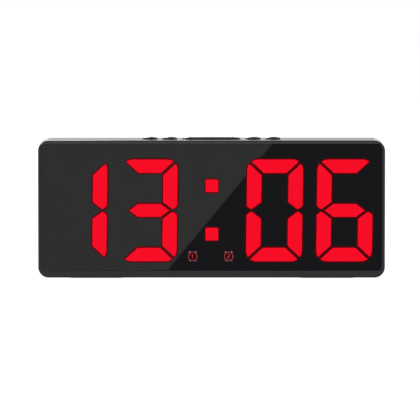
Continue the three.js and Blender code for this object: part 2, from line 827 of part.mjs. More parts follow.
// Outline of the door up to a level, grown by a distance, with its lower corners rounded.
function doorOutline(grow, topZ) {
  const half = bayLength / 2 + doorLip + grow;
  const bottomZ = doorBottomZ - grow;
  const radius = doorCorner + grow;
  const shape = new THREE.Shape();
  shape.moveTo(half, topZ);
  shape.lineTo(-half, topZ);
  shape.absarc(-half + radius, bottomZ + radius, radius, Math.PI, 1.5 * Math.PI);
  shape.absarc(half - radius, bottomZ + radius, radius, -Math.PI / 2, 0);
  return shape;
}

// Battery door: a plate with a round top edge, two tongues behind it and a latch rib below.
function batteryDoor() {
  const half = bayLength / 2 + doorLip;
  const plate = prismY(doorOutline(0, hingeZ), doorInnerY, rearY);
  const edge = new THREE.CylinderGeometry(doorThickness / 2, doorThickness / 2, 2 * half, roundSides);
  edge.rotateZ(Math.PI / 2);
  edge.translate(0, hingeY, hingeZ);
  const tongueBackY = doorInnerY - slideGap;
  const tongueFrontY = tongueBackY - tongueThickness;
  const tongues = [-1, 1].map((side) => {
    const x = (side * tongueSpacing) / 2;
    const [x0, x1] = [x - tongueWidth / 2, x + tongueWidth / 2];
    const rootZ = doorTopZ - tongueRoot;
    const root = block(x0, x1, tongueFrontY, hingeY, rootZ, doorTopZ - doorThickness);
    return root.add(block(x0, x1, tongueFrontY, tongueBackY, rootZ, doorTopZ + tongueReach));
  });
  const latchZ = bayBottomZ + latchGap;
  const latch = block(
    -latchWidth / 2, latchWidth / 2, doorInnerY - latchDepth, hingeY, latchZ, latchZ + latchThickness,
  );
  return joined([plate, toSolid(edge), ...tongues, latch]);
}

// Display reflector: a black block with a cell for each bar, dot and sign.
function displayReflector() {
  const body = prismY(windowOutline(displayInset), displayFrontY, displayBackY);
  const cellFrontY = displayFrontY - through;
  const cellBackY = displayBackY + through;
  const linkSeatY = linkFrontY - cellGap;
  const cuts = [];
  for (const digit of digits) {
    for (const bar of allBars) {
      const corners = moved(grown(barCorners(bar), cellGap), digit.x, digitMidZ);
      cuts.push(prismY(filleted(corners), cellFrontY, cellBackY));
    }
    for (const link of linkBoxes()) {
      const [x0, x1] = [digit.x + link.x0 - cellGap, digit.x + link.x1 + cellGap];
      const [z0, z1] = [digitMidZ + link.z0 - cellGap, digitMidZ + link.z1 + cellGap];
      cuts.push(block(x0, x1, linkSeatY, cellBackY, z0, z1));
    }
  }
  for (const dot of colonDots) {
    const plan = squareAt(dot, colonDot, colonDot, colonCorner, cellGap);
    cuts.push(prismY(plan, cellFrontY, cellBackY, dotArcSteps));
  }
  for (const sign of signs) {
    const plan = squareAt(sign, signWidth, signHeight, colonCorner, cellGap);
    cuts.push(prismY(plan, cellFrontY, cellBackY, dotArcSteps));
  }
  cuts.push(centreWeb(cellGap, linkSeatY, cellBackY));
  for (const [x, z] of boardScrews) {
    const endY = displayBackY - boardScrewBite - pilotSpare;
    cuts.push(barY(boardScrewRadius + screwGap, endY, cellBackY, x, z));
  }
  return cutBy(body, cuts);
}

// Diffuser fill of the bars of one digit that are lit, or of those that are dark.
function digitFill(bars) {
  const pieces = bars.map((bar) => prismY(filleted(barCorners(bar)), displayFrontY, fillBackY));
  for (const link of linkBoxes()) {
    if (![...link.bars].every((bar) => bars.includes(bar))) continue;
    pieces.push(block(link.x0, link.x1, linkFrontY, fillBackY, link.z0, link.z1));
  }
  return joined(pieces);
}

// A bar of a sign between two points, with square ends.
function signBar(from, to, thickness) {
  const along = new THREE.Vector2(to[0] - from[0], to[1] - from[1]);
  const across = new THREE.Vector2(-along.y, along.x).setLength(thickness / 2);
  const shape = new THREE.Shape();
  shape.moveTo(from[0] - across.x, from[1] - across.y);
  shape.lineTo(to[0] - across.x, to[1] - across.y);
  shape.lineTo(to[0] + across.x, to[1] + across.y);
  shape.lineTo(from[0] + across.x, from[1] + across.y);
  return prismY(shape, displayFrontY, displayFrontY + signRelief + linkThickness);
}

// The raised figure of an alarm sign: a ring with two bells, two feet and a number in it.
function alarmSign(number) {
  const ringOuter = new THREE.Shape();
  ringOuter.absarc(0, 0, signRadius + signLine / 2, 0, 2 * Math.PI);
  const ringHole = new THREE.Path();
  ringHole.absarc(0, 0, signRadius - signLine / 2, 0, 2 * Math.PI);
  ringOuter.holes.push(ringHole);
  const ringGeometry = new THREE.ExtrudeGeometry(ringOuter, {
    depth: signRelief + linkThickness,
    bevelEnabled: false,
    curveSegments: signSteps,
  });
  ringGeometry.rotateX(Math.PI / 2);
  ringGeometry.translate(0, displayFrontY + signRelief + linkThickness, 0);
  const pieces = [toSolid(ringGeometry)];
  const outer = signRadius + signLine;
  for (const side of [-1, 1]) {
    const lean = side * signBellLean * degree;
    const bell = [outer * Math.sin(lean), outer * Math.cos(lean)];
    const slope = [(Math.cos(lean) * signBellLength) / 2, (-Math.sin(lean) * signBellLength) / 2];
    const bellFrom = [bell[0] - slope[0], bell[1] - slope[1]];
    const bellTo = [bell[0] + slope[0], bell[1] + slope[1]];
    pieces.push(signBar(bellFrom, bellTo, signBellThickness));
    const foot = [signRadius * Math.sin(lean), -signRadius * Math.cos(lean)];
    const footShare = 1 + signFootLength / signRadius;
    const footEnd = [foot[0] * footShare, foot[1] * footShare];
    pieces.push(signBar(foot, footEnd, signLine));
  }
  const [w, h] = [signFigureWidth / 2, signFigureHeight / 2];
  const strokes = {
    1: [[[0, -h], [0, h]]],
    2: [[[-w, h], [w, h]], [[w, h], [w, 0]], [[w, 0], [-w, 0]], [[-w, 0], [-w, -h]], [[-w, -h], [w, -h]]],
  }[number];
  for (const [from, to] of strokes) pieces.push(signBar(from, to, signLine));
  return joined(pieces);
}

// Diffuser of the colon and the two alarm signs, one moulding.
function colonAndSigns() {
  const dots = colonDots.map((dot) => {
    return prismY(squareAt(dot, colonDot, colonDot, colonCorner, 0), displayFrontY, fillBackY, dotArcSteps);
  });
  const plates = signs.map((sign) => {
    const plan = squareAt(sign, signWidth, signHeight, colonCorner, 0);
    return prismY(plan, displayFrontY + signRelief, fillBackY, dotArcSteps);
  });
  const figures = signs.map((sign, i) => {
    return alarmSign(i + 1).translate([sign.x + displayShift, 0, sign.y + digitMidZ]);
  });
  return joined([...dots, ...plates, ...figures, centreWeb(0, linkFrontY, fillBackY)]);
}

// Places of the LED dice on the main board: two behind each bar, one behind each dot and sign.
function ledPlaces() {
  const halfWidth = digitWidth / 2 - uprightWidth / 2;
  const halfHeight = digitHeight / 2 - crossbarHeight / 2;
  const midZ = digitHeight / 4;
  const places = [];
  for (const digit of digits) {
    for (const z of [halfHeight, 0, -halfHeight]) {
      for (const x of [-ledAcross, ledAcross]) places.push([digit.x, leaned(x, z)]);
    }
    for (const x of [-halfWidth, halfWidth]) {
      for (const z of [midZ + ledAlong, midZ - ledAlong, -midZ + ledAlong, -midZ - ledAlong]) {
        places.push([digit.x, leaned(x, z)]);
      }
    }
  }
  for (const place of [...colonDots, ...signs]) places.push([displayShift, place]);
  return places.map(([x, place]) => [x + place.x, place.y + digitMidZ]);
}

// Main board behind the reflector, with the LED dice on its front.
function mainBoard() {
  const body = prismY(windowOutline(displayInset), boardFrontY, boardBackY);
  const dice = ledPlaces().map(([x, z]) => {
    const [x0, x1] = [x - ledLength / 2, x + ledLength / 2];
    const [z0, z1] = [z - ledWidth / 2, z + ledWidth / 2];
    return block(x0, x1, boardFrontY - ledHeight, boardFrontY + boardThickness / 2, z0, z1);
  });
  const holes = boardScrews.map(([x, z]) => {
    return barY(boardScrewRadius + screwGap, boardFrontY - through, boardBackY + through, x, z);
  });
  return cutBy(joined([body, ...dice]), holes);
}

// Joins rings of points, one above another, into a closed form.
function lofted(rings) {
  const count = rings[0].length;
  const points = rings.flat();
  const triangles = [];
  for (let level = 0; level < rings.length - 1; level += 1) {
    for (let i = 0; i < count; i += 1) {
      const [a, b] = [level * count + i, level * count + ((i + 1) % count)];
      triangles.push(a, b, b + count, a, b + count, a + count);
    }
  }
  const top = (rings.length - 1) * count;
  for (let i = 1; i < count - 1; i += 1) {
    triangles.push(0, i + 1, i, top, top + i, top + i + 1);
  }
  const geometry = new THREE.BufferGeometry();
  geometry.setAttribute("position", new THREE.Float32BufferAttribute(points.flat(), 3));
  geometry.setIndex(triangles);
  return toSolid(geometry);
}

// A button: a shallow dome over the case top, a lip under the top wall and a stem onto its switch.
function buttonCap(button) {
  const ring = (share, z) => planPoints(button, 0, share).map(([x, y]) => [x, y, z]);
  const rings = [ring(0, flangeBottomZ + flangeThickness / 2), ring(0, caseTopZ)];
  const rise = button.name === "snooze" ? snoozeRise : buttonRise;
  for (const share of domeShares) rings.push(ring(share, caseTopZ + rise * (1 - (1 - share) ** domeSwell)));
  const dome = lofted(rings);
  const flange = prismZ(buttonPlan(button, flangeLip), flangeBottomZ, flangeTopZ);
  const stemHeight = stemLength + flangeThickness / 2;
  const stem = new THREE.CylinderGeometry(stemRadius, stemRadius, stemHeight, smallSides);
  stem.rotateX(Math.PI / 2);
  stem.translate(0, 0, (stemBottomZ + flangeBottomZ + flangeThickness / 2) / 2);
  const pieces = [dome, flange, toSolid(stem)];
  if (button.name === "snooze") {
    const span = snoozeLength - 2 * snoozeRibMargin;
    const ribs = Math.floor(span / snoozeRibPitch) + 1;
    for (let i = 0; i < ribs; i += 1) {
      const x = (i - (ribs - 1) / 2) * snoozeRibPitch;
      const [x0, x1] = [x - snoozeRibWidth / 2, x + snoozeRibWidth / 2];
      const ribZ = caseTopZ + snoozeRise;
      const [y0, y1] = [-snoozeRibLength / 2, snoozeRibLength / 2];
      pieces.push(block(x0, x1, y0, y1, ribZ - snoozeRise / 2, ribZ + snoozeRibRise));
    }
  }
  return joined(pieces);
}

// A tact switch with a well for its plunger.
function switchBody() {
  const half = switchSize / 2;
  const well = new THREE.CylinderGeometry(
    plungerRadius + cellGap, plungerRadius + cellGap, 2 * (plungerSunk + buttonTravel + cellGap), smallSides,
  );
  well.rotateX(Math.PI / 2);
  well.translate(0, 0, switchTopZ);
  return block(-half, half, -half, half, switchTopZ - switchHeight, switchTopZ).subtract(toSolid(well));
}

function plunger() {
  const length = plungerProud + plungerSunk;
  const geometry = new THREE.CylinderGeometry(plungerRadius, plungerRadius, length, smallSides);
  geometry.rotateX(Math.PI / 2);
  geometry.translate(0, 0, plungerTopZ - length / 2);
  return toSolid(geometry);
}

// A pan-head screw along Y, its head seat at zero and its shank towards -Y.
function screw(radius, length, headRadius, headHeight) {
  const body = turned(
    [
      [0, -length],
      [radius * screwTipShare, -length],
      [radius, -length + radius * screwTaperShare],
      [radius, 0],
      [headRadius, 0],
      [headRadius, headHeight * screwRimShare],
      [headRadius * screwCrownShare, headHeight],
      [0, headHeight],
    ],
    smallSides,
  );
  const half = (headRadius * crossSlotShare) / 2;
  const width = crossSlotWidth / 2;
  const [y0, y1] = [headHeight - crossSlotDepth, headHeight + through];
  return cutBy(body, [block(-half, half, y0, y1, -width, width), block(-width, width, y0, y1, -half, half)]);
}

// An AAA cell along X with its positive nub towards +X, its flat end at zero.
function batteryCell() {
  const radius = cellDiameter / 2;
  const shoulder = cellLength - cellNubHeight;
  const solid = turned([
    [0, 0],
    [radius - cellEdge, 0],
    [radius, cellEdge],
    [radius, shoulder - cellEdge],
    [radius - cellEdge, shoulder],
    [cellNubRadius, shoulder],
    [cellNubRadius, cellLength],
    [0, cellLength],
  ]);
  return solid.rotate([0, 0, -90]);
}

// Cells from the bottom up, with the side their positive nub points to.
const cells = [
  { name: "bottom_cell", z: bottomCellZ, plus: 1 },
  { name: "middle_cell", z: bottomCellZ + cellPitch, plus: -1 },
  { name: "top_cell", z: bottomCellZ + 2 * cellPitch, plus: 1 },
];

// Contact plates: a single plate at each end of the chain of cells and two that join neighbours.
const contacts = [
  { name: "negative_contact", side: -1, from: 0, to: 0, tab: true, tabZ: cells[0].z },
  { name: "left_bridge_contact", side: -1, from: 1, to: 2, tab: false },
  { name: "right_bridge_contact", side: 1, from: 0, to: 1, tab: false },
  { name: "positive_contact", side: 1, from: 2, to: 2, tab: true, tabZ: cells[2].z },
];

function contactPlate(contact) {
  const wallX = contact.side * (bayLength / 2 - seatGap);
  const faceX = wallX - contact.side * contactThickness;
  const [x0, x1] = [Math.min(wallX, faceX), Math.max(wallX, faceX)];
  const half = contactSize / 2;
  const z0 = cells[contact.from].z - half;
  const z1 = cells[contact.to].z + half;
  const pieces = [block(x0, x1, cellAxisY - half, cellAxisY + half, z0, z1)];
  for (const cell of cells.slice(contact.from, contact.to + 1)) {
    if (cell.plus !== contact.side) continue;
    const bump = new THREE.CylinderGeometry(
      contactBumpRadius, contactBumpRadius, contactBump + contactThickness, smallSides,
    );
    bump.rotateZ(Math.PI / 2);
    bump.translate(wallX - (contact.side * (contactBump + contactThickness)) / 2, cellAxisY, cell.z);
    pieces.push(toSolid(bump));
  }
  if (contact.tab) {
    const endX = contact.side * (bayLength / 2 + bayWall + contactTabReach);
    const [t0, t1] = [Math.min(faceX, endX), Math.max(faceX, endX)];
    const [y0, y1] = [cellAxisY - contactThickness / 2, cellAxisY + contactThickness / 2];
    const halfZ = contactTabWidth / 2;
    pieces.push(block(t0, t1, y0, y1, contact.tabZ - halfZ, contact.tabZ + halfZ));
  }
  return joined(pieces);
}

// A tube of round section along a curve, closed at its ends.
function tubeAlong(curve, radius, sides, steps) {
  const section = new THREE.Shape();
  for (let i = 0; i < sides; i += 1) {
    const angle = (2 * Math.PI * i) / sides;
    const [x, y] = [radius * Math.cos(angle), radius * Math.sin(angle)];
    if (i === 0) section.moveTo(x, y);
    else section.lineTo(x, y);
  }
  return toSolid(new THREE.ExtrudeGeometry(section, { steps, extrudePath: curve, bevelEnabled: false }));
}

// Path of a conical battery spring along +X, square to its plate at zero and to the cell at its end.
function springPath() {
  const steps = springTurns * springStepsPerTurn;
  const at = (along, radius, angle) => {
    return new THREE.Vector3(along, radius * Math.cos(angle), radius * Math.sin(angle));
  };
  const points = [at(0, springBase, 0), at(springWire, springBase, 0)];
  for (let i = 0; i <= steps; i += 1) {
    const turn = i / springStepsPerTurn;
    const along = springWire + springBend + springPitch * turn;
    const radius = springBase + ((springTip - springBase) * i) / steps;
    points.push(at(along, radius, springBend / springBase + 2 * Math.PI * turn));
  }
  const endAngle = springBend / springBase + springBend / springTip;
  points.push(at(springLength - springWire, springTip, endAngle), at(springLength, springTip, endAngle));
  return new THREE.CatmullRomCurve3(points);
}

// Least clear distance between turns of a tube, measured on points of its path.
function leastGap(curve, diameter) {
  const samples = 240;
  const points = curve.getSpacedPoints(samples);
  const step = curve.getLength() / samples;
  const apart = Math.ceil((4 * diameter) / step);
  let least = Infinity;
  for (let i = 0; i < points.length; i += 1) {
    for (let j = i + apart; j < points.length; j += 1) {
      least = Math.min(least, points[i].distanceTo(points[j]));
    }
  }
  return least - diameter;
}

function batterySpring() {
  const path = springPath();
  console.log("battery spring, least gap between turns " + leastGap(path, springWire).toFixed(2) + " mm");
  const steps = (springTurns + 1) * springStepsPerTurn;
  return tubeAlong(path, springWire / 2, springSides, steps);
}

// An insulated lead through points chosen by hand.
function lead(points) {
  const curve = new THREE.CatmullRomCurve3(points.map((point) => new THREE.Vector3(...point)));
  return tubeAlong(curve, leadRadius, wireSides, points.length * 2);
}

// Round power inlet along Y: a square body, a nose through the rear cover, a bore and its pin.
function powerSocket() {
  const half = socketSize / 2;
  const bodyBackY = seamY - seatGap;
  const bodyFrontY = bodyBackY - socketLength;
  const noseY = rearY - socketRecess;
  const body = block(socketX - half, socketX + half, bodyFrontY, bodyBackY, socketZ - half, socketZ + half);
  const nose = barY(socketNoseRadius, bodyFrontY + through, noseY, socketX, socketZ, roundSides);
  const boreY = noseY - socketBoreDepth;
  const bore = barY(socketBoreRadius, boreY, noseY + through, socketX, socketZ, roundSides);
  const pin = barY(socketPinRadius, boreY - socketPinInset, noseY - socketPinInset, socketX, socketZ);
  return joined([body, nose]).subtract(bore).add(pin);
}

function buzzer() {
  return turned([
    [0, 0],
    [buzzerRadius, 0],
    [buzzerRadius, buzzerHeight - buzzerEdge],
    [buzzerRadius - buzzerEdge, buzzerHeight],
    [buzzerPort, buzzerHeight],
    [buzzerPort, buzzerHeight - buzzerPortDepth],
    [0, buzzerHeight - buzzerPortDepth],
  ]);
}

// Can of the watch crystal, upright along Z.
function crystal() {
  const solid = turned(
    [
      [0, 0],
      [crystalRadius, 0],
      [crystalRadius, crystalLength],
      [0, crystalLength],
    ],
    smallSides,
  );
  return solid.rotate([90, 0, 0]);
}

// Finishes
const caseBlack = finish(0x2e2e31, 0.45);
const buttonBlack = finish(0x232326, 0.35);
const smokedAcrylic = finish(0x17181a, 0.08);
const litRed = finish(0xfa0e20, 0.5);
const darkFill = finish(0x1a1718, 0.5);
const reflectorBlack = finish(0x161617, 0.6);
const boardGreen = finish(0x1f4a33, 0.5);
const partBlack = finish(0x1b1b1c, 0.5);
const springSteel = finish(0xb9bcbf, 0.3, 1);
const screwSteel = finish(0x9c9ea1, 0.35, 1);
const cellJacket = finish(0x8d9196, 0.35, 1);
const rubberBlack = finish(0x202021, 0.8);
const leadRed = finish(0xb02020, 0.5);
const leadBlack = finish(0x1c1c1d, 0.5);

// Shell
const shell = new THREE.Group();
clock.add(shell);
addPart(shell, "front_case", frontCase(), caseBlack);
addPart(shell, "rear_cover", rearCover(), caseBlack);
addPart(shell, "battery_door", batteryDoor(), caseBlack);
const windowPane = prismY(windowOutline(windowPlay), windowFrontY, windowBackY);
addPart(shell, "display_window", windowPane, smokedAcrylic);
["left", "right"].forEach((side, i) => {
  const pad = prismZ(footPlan(0), 0, footProud + footSunk);
  addPart(shell, side + "_foot_pad", pad, rubberBlack, [i ? footX : -footX, footY, 0]);
});
const corners = ["lower_left", "lower_right", "upper_left", "upper_right"];
caseScrews.forEach(([x, z], i) => {
  const solid = screw(caseScrewRadius, caseScrewLength, caseScrewHead, caseScrewHeadHeight);
  addPart(shell, corners[i] + "_case_screw", solid, screwSteel, [x, screwSeatY + seatGap, z]);
});

// Display
const display = new THREE.Group();
clock.add(display);
addPart(display, "display_reflector", displayReflector(), reflectorBlack);
addPart(display, "main_board", mainBoard(), boardGreen);
for (const digit of digits) {
  const lit = allBars.filter((bar) => litBars[digit.figure].includes(bar));
  const dark = allBars.filter((bar) => !lit.includes(bar));
  addPart(display, digit.name + "_lit_bars", digitFill(lit), litRed, [digit.x, 0, digitMidZ]);
  addPart(display, digit.name + "_dark_bars", digitFill(dark), darkFill, [digit.x, 0, digitMidZ]);
}
addPart(display, "colon_and_signs", colonAndSigns(), litRed);
boardScrews.forEach(([x, z], i) => {
  const length = tabThickness + boardThickness + boardScrewBite + 2 * seatGap;
  const solid = screw(boardScrewRadius, length, boardScrewHead, boardScrewHeadHeight);
  addPart(display, corners[i] + "_board_screw", solid, screwSteel, [x, tabBackY + seatGap, z]);
});
addPart(display, "buzzer", buzzer(), partBlack, [buzzerX, boardBackY + seatGap, buzzerZ]);
const chipY = boardBackY + seatGap;
const chip = block(-chipLength / 2, chipLength / 2, 0, chipHeight, -chipWidth / 2, chipWidth / 2);
addPart(display, "clock_chip", chip, partBlack, [chipX, chipY, chipZ]);
const crystalPlace = [crystalX, chipY + crystalRadius, chipZ - crystalLength / 2];
addPart(display, "watch_crystal", crystal(), springSteel, crystalPlace);

// Keys
const keys = new THREE.Group();
clock.add(keys);
for (const button of buttons) {
  const place = [button.x, buttonY, 0];
  const capName = button.name === "snooze" ? "snooze_bar" : button.name + "_button";
  addPart(keys, capName, buttonCap(button), buttonBlack, place);
  addPart(keys, button.name + "_switch", switchBody(), partBlack, place);
  addPart(keys, button.name + "_plunger", plunger(), partBlack, place);
}
const keyBoard = block(
  -keyBoardHalf, keyBoardHalf, keyBoardFrontY, keyBoardBackY, keyBoardBottomZ, keyBoardTopZ,
);
addPart(keys, "button_board", keyBoard, boardGreen);
const connectorTopZ = keyBoardBottomZ - seatGap;
const connector = block(
  -connectorLength / 2, connectorLength / 2, tabFrontY, tabFrontY + connectorDepth,
  connectorTopZ - connectorHeight, connectorTopZ,
);
addPart(keys, "board_connector", connector, partBlack);

// Power
const power = new THREE.Group();
clock.add(power);
const springSolid = batterySpring();
const plateFaceX = bayLength / 2 - contactRoom;
for (const cell of cells) {
  const mesh = addPart(power, cell.name, batteryCell(), cellJacket);
  const flatX = plateFaceX - screwGap - springLength - screwGap;
  mesh.position.set(-cell.plus * flatX, cellAxisY, cell.z);
  mesh.rotation.z = cell.plus > 0 ? 0 : Math.PI;
  const spring = addPart(power, cell.name.replace("cell", "spring"), springSolid, springSteel);
  spring.position.set(-cell.plus * (plateFaceX - screwGap), cellAxisY, cell.z);
  spring.rotation.z = cell.plus > 0 ? 0 : Math.PI;
}
for (const contact of contacts) addPart(power, contact.name, contactPlate(contact), springSteel);
addPart(power, "power_socket", powerSocket(), partBlack);
const padY = boardBackY + seatGap;
const tabEndX = bayLength / 2 + bayWall + contactTabReach + seatGap;
const socketBackY = seamY - seatGap - socketLength - seatGap;
const batteryLeads = [
  { name: "positive_lead", side: 1, z: cells[2].z, material: leadRed },
  { name: "negative_lead", side: -1, z: cells[0].z, material: leadBlack },
];
for (const { name, side, z, material } of batteryLeads) {
  const route = [
    [side * tabEndX, cellAxisY, z],
    [side * (tabEndX + 1.5), cellAxisY, z],
    [side * (tabEndX + 4), cellAxisY - 1, z + 1],
    [side * (tabEndX + 6), cellAxisY - 4, z + 3],
    [side * (tabEndX + 6.5), padY + 2.5, z + 4],
    [side * (tabEndX + 6.5), padY, z + 4],
  ];
  addPart(power, name, lead(route), material);
}
const socketLeads = [
  { name: "inlet_positive_lead", x: socketX + socketTerminal, reach: 5, material: leadRed },
  { name: "inlet_negative_lead", x: socketX - socketTerminal, reach: -5, material: leadBlack },
];
for (const { name, x, reach, material } of socketLeads) {
  const route = [
    [x, socketBackY, socketZ],
    [x, socketBackY - 1.2, socketZ],
    [x + reach * 0.3, socketBackY - 2, socketZ + 2.5],
    [x + reach, padY + 2.2, socketZ + 5],
    [x + reach, padY, socketZ + 5],
  ];
  addPart(power, name, lead(route), material);
}

export default clock;
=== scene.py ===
import json
import math
from math import cos, pi, radians, sin

import bmesh
import bpy
from mathutils import Matrix, Vector


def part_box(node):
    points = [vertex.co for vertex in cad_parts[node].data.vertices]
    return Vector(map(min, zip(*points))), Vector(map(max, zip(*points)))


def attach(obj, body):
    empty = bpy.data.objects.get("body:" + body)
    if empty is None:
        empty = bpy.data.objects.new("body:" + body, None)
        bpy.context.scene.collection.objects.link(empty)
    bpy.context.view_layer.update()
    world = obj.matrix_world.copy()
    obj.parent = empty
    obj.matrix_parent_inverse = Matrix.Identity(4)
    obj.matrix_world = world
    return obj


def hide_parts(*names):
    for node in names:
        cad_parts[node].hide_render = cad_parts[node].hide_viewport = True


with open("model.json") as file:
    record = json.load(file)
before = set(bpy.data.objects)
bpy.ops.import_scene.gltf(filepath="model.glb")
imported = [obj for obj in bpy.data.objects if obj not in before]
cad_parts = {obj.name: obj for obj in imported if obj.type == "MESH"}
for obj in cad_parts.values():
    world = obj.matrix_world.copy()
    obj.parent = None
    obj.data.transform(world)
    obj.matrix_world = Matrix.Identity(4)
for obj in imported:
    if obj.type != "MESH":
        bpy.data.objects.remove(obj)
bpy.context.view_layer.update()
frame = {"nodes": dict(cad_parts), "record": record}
nodes = frame["nodes"]
scene = bpy.context.scene
scene.view_settings.view_transform = "Standard"
mm = 0.001


def boxMm(name):
    low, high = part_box(name)
    return low / mm, high / mm


# Middle of a node along two axes
def middle(name, axes="xz"):
    low, high = boxMm(name)
    return [(getattr(low, axis) + getattr(high, axis)) / 2 for axis in axes]


def addObject(name, data):
    made = bpy.data.objects.new(name, data)
    scene.collection.objects.link(made)
    return made


# Puts a camera or a lamp in its place, looking along a line
def pointObject(made, place, along):
    made.location = place
    made.rotation_mode = "QUATERNION"
    made.rotation_quaternion = along.to_track_quat("-Z", "Y")


# camera: a long lens, a little above the clock
cameraView = {
    "away": 2200.0,  # mm from the front face
    "elevation": 3.9,  # degrees above the middle of the clock
    "frame": 420,  # pixels across the picture
    "pixelsPerMm": 2.1045,
    "faceMiddle": (211.57, 209.15),  # pixel that the middle of the front face falls on
    "sensor": 36.0,
    "clip": (0.1, 60.0),  # metres
}


def addCamera():
    s = cameraView
    x, z = middle("front_case")
    tilt = radians(s["elevation"])
    half = s["frame"] / 2
    scale = s["pixelsPerMm"]
    offX = (s["faceMiddle"][0] - half) / scale
    offZ = (half - s["faceMiddle"][1]) / scale / cos(tilt)
    aim = Vector((x - offX, boxMm("front_case")[0].y, z - offZ))
    back = Vector((0, -cos(tilt), sin(tilt)))
    data = bpy.data.cameras.new("camera")
    data.sensor_width = s["sensor"]
    data.lens = s["sensor"] * s["away"] * scale / s["frame"]
    data.clip_start, data.clip_end = s["clip"]
    made = addObject("camera", data)
    pointObject(made, (aim + back * s["away"]) * mm, -back)
    scene.camera = made
    return made.location / mm


cameraPlace = addCamera()
print("camera placed")


def linear(hexValue):
    parts = [int(hexValue[i:i + 2], 16) / 255 for i in (1, 3, 5)]
    bent = [p / 12.92 if p <= 0.04045 else ((p + 0.055) / 1.055) ** 2.4 for p in parts]
    return (*bent, 1.0)


def addNode(tree, kind, settings=None, links=None):
    made = tree.nodes.new(kind)
    for key, value in (settings or {}).items():
        if isinstance(key, str) and hasattr(made, key):
            setattr(made, key, value)
        else:
            made.inputs[key].default_value = value
    for key, source in (links or {}).items():
        tree.links.new(source, made.inputs[key])
    return made


def emptyMaterial(name):
    material = bpy.data.materials.new(name)
    material.use_nodes = True
    material.node_tree.nodes.clear()
    return material, material.node_tree


def newMaterial(name, settings):
    material, tree = emptyMaterial(name)
    shader = addNode(tree, "ShaderNodeBsdfPrincipled", settings)
    addNode(tree, "ShaderNodeOutputMaterial", None, {"Surface": shader.outputs["BSDF"]})
    where = addNode(tree, "ShaderNodeTexCoord").outputs["Object"]
    return material, tree, shader, where


def perSize(sizeMm):
    return 1 / (sizeMm * mm)  # noise scale that gives grains of this size


# Base colour that drifts between two shades over patches of one size
def addMottle(tree, shader, where, sizeMm, detail, span, shades):
    settings = {"Scale": perSize(sizeMm), "Detail": detail}
    cloud = addNode(tree, "ShaderNodeTexNoise", settings, {"Vector": where})
    tone = addNode(tree, "ShaderNodeValToRGB", None, {"Fac": cloud.outputs["Fac"]})
    for end, place, shade in zip(tone.color_ramp.elements, span, shades):
        end.position = place
        end.color = linear(shade)
    tree.links.new(tone.outputs["Color"], shader.inputs["Base Color"])


# Roughness that varies over patches of one size; gives back the noise behind it
def addUneven(tree, shader, where, sizeMm, detail, span, rough):
    settings = {"Scale": perSize(sizeMm), "Detail": detail}
    noise = addNode(tree, "ShaderNodeTexNoise", settings, {"Vector": where}).outputs["Fac"]
    limits = {"From Min": span[0], "From Max": span[1], "To Min": rough[0], "To Max": rough[1]}
    uneven = addNode(tree, "ShaderNodeMapRange", limits, {"Value": noise})
    tree.links.new(uneven.outputs["Result"], shader.inputs["Roughness"])
    return noise


grainNoise = {"span": (0.3, 0.7), "cloudDetail": 3.0, "grainDetail": 2.0}  # span: nearly all of the noise


# Mottled colour, uneven roughness and a grain in relief, each from a real size
def addGrain(tree, shader, where, s):
    span = grainNoise["span"]
    addMottle(tree, shader, where, s["cloudMm"], grainNoise["cloudDetail"], span, s["shades"])
    grain = addUneven(tree, shader, where, s["grainMm"], grainNoise["grainDetail"], span, s["rough"])
    settings = {"Strength": s["relief"], "Distance": s["reliefMm"] * mm}
    relief = addNode(tree, "ShaderNodeBump", settings, {"Height": grain})
    tree.links.new(relief.outputs["Normal"], shader.inputs["Normal"])


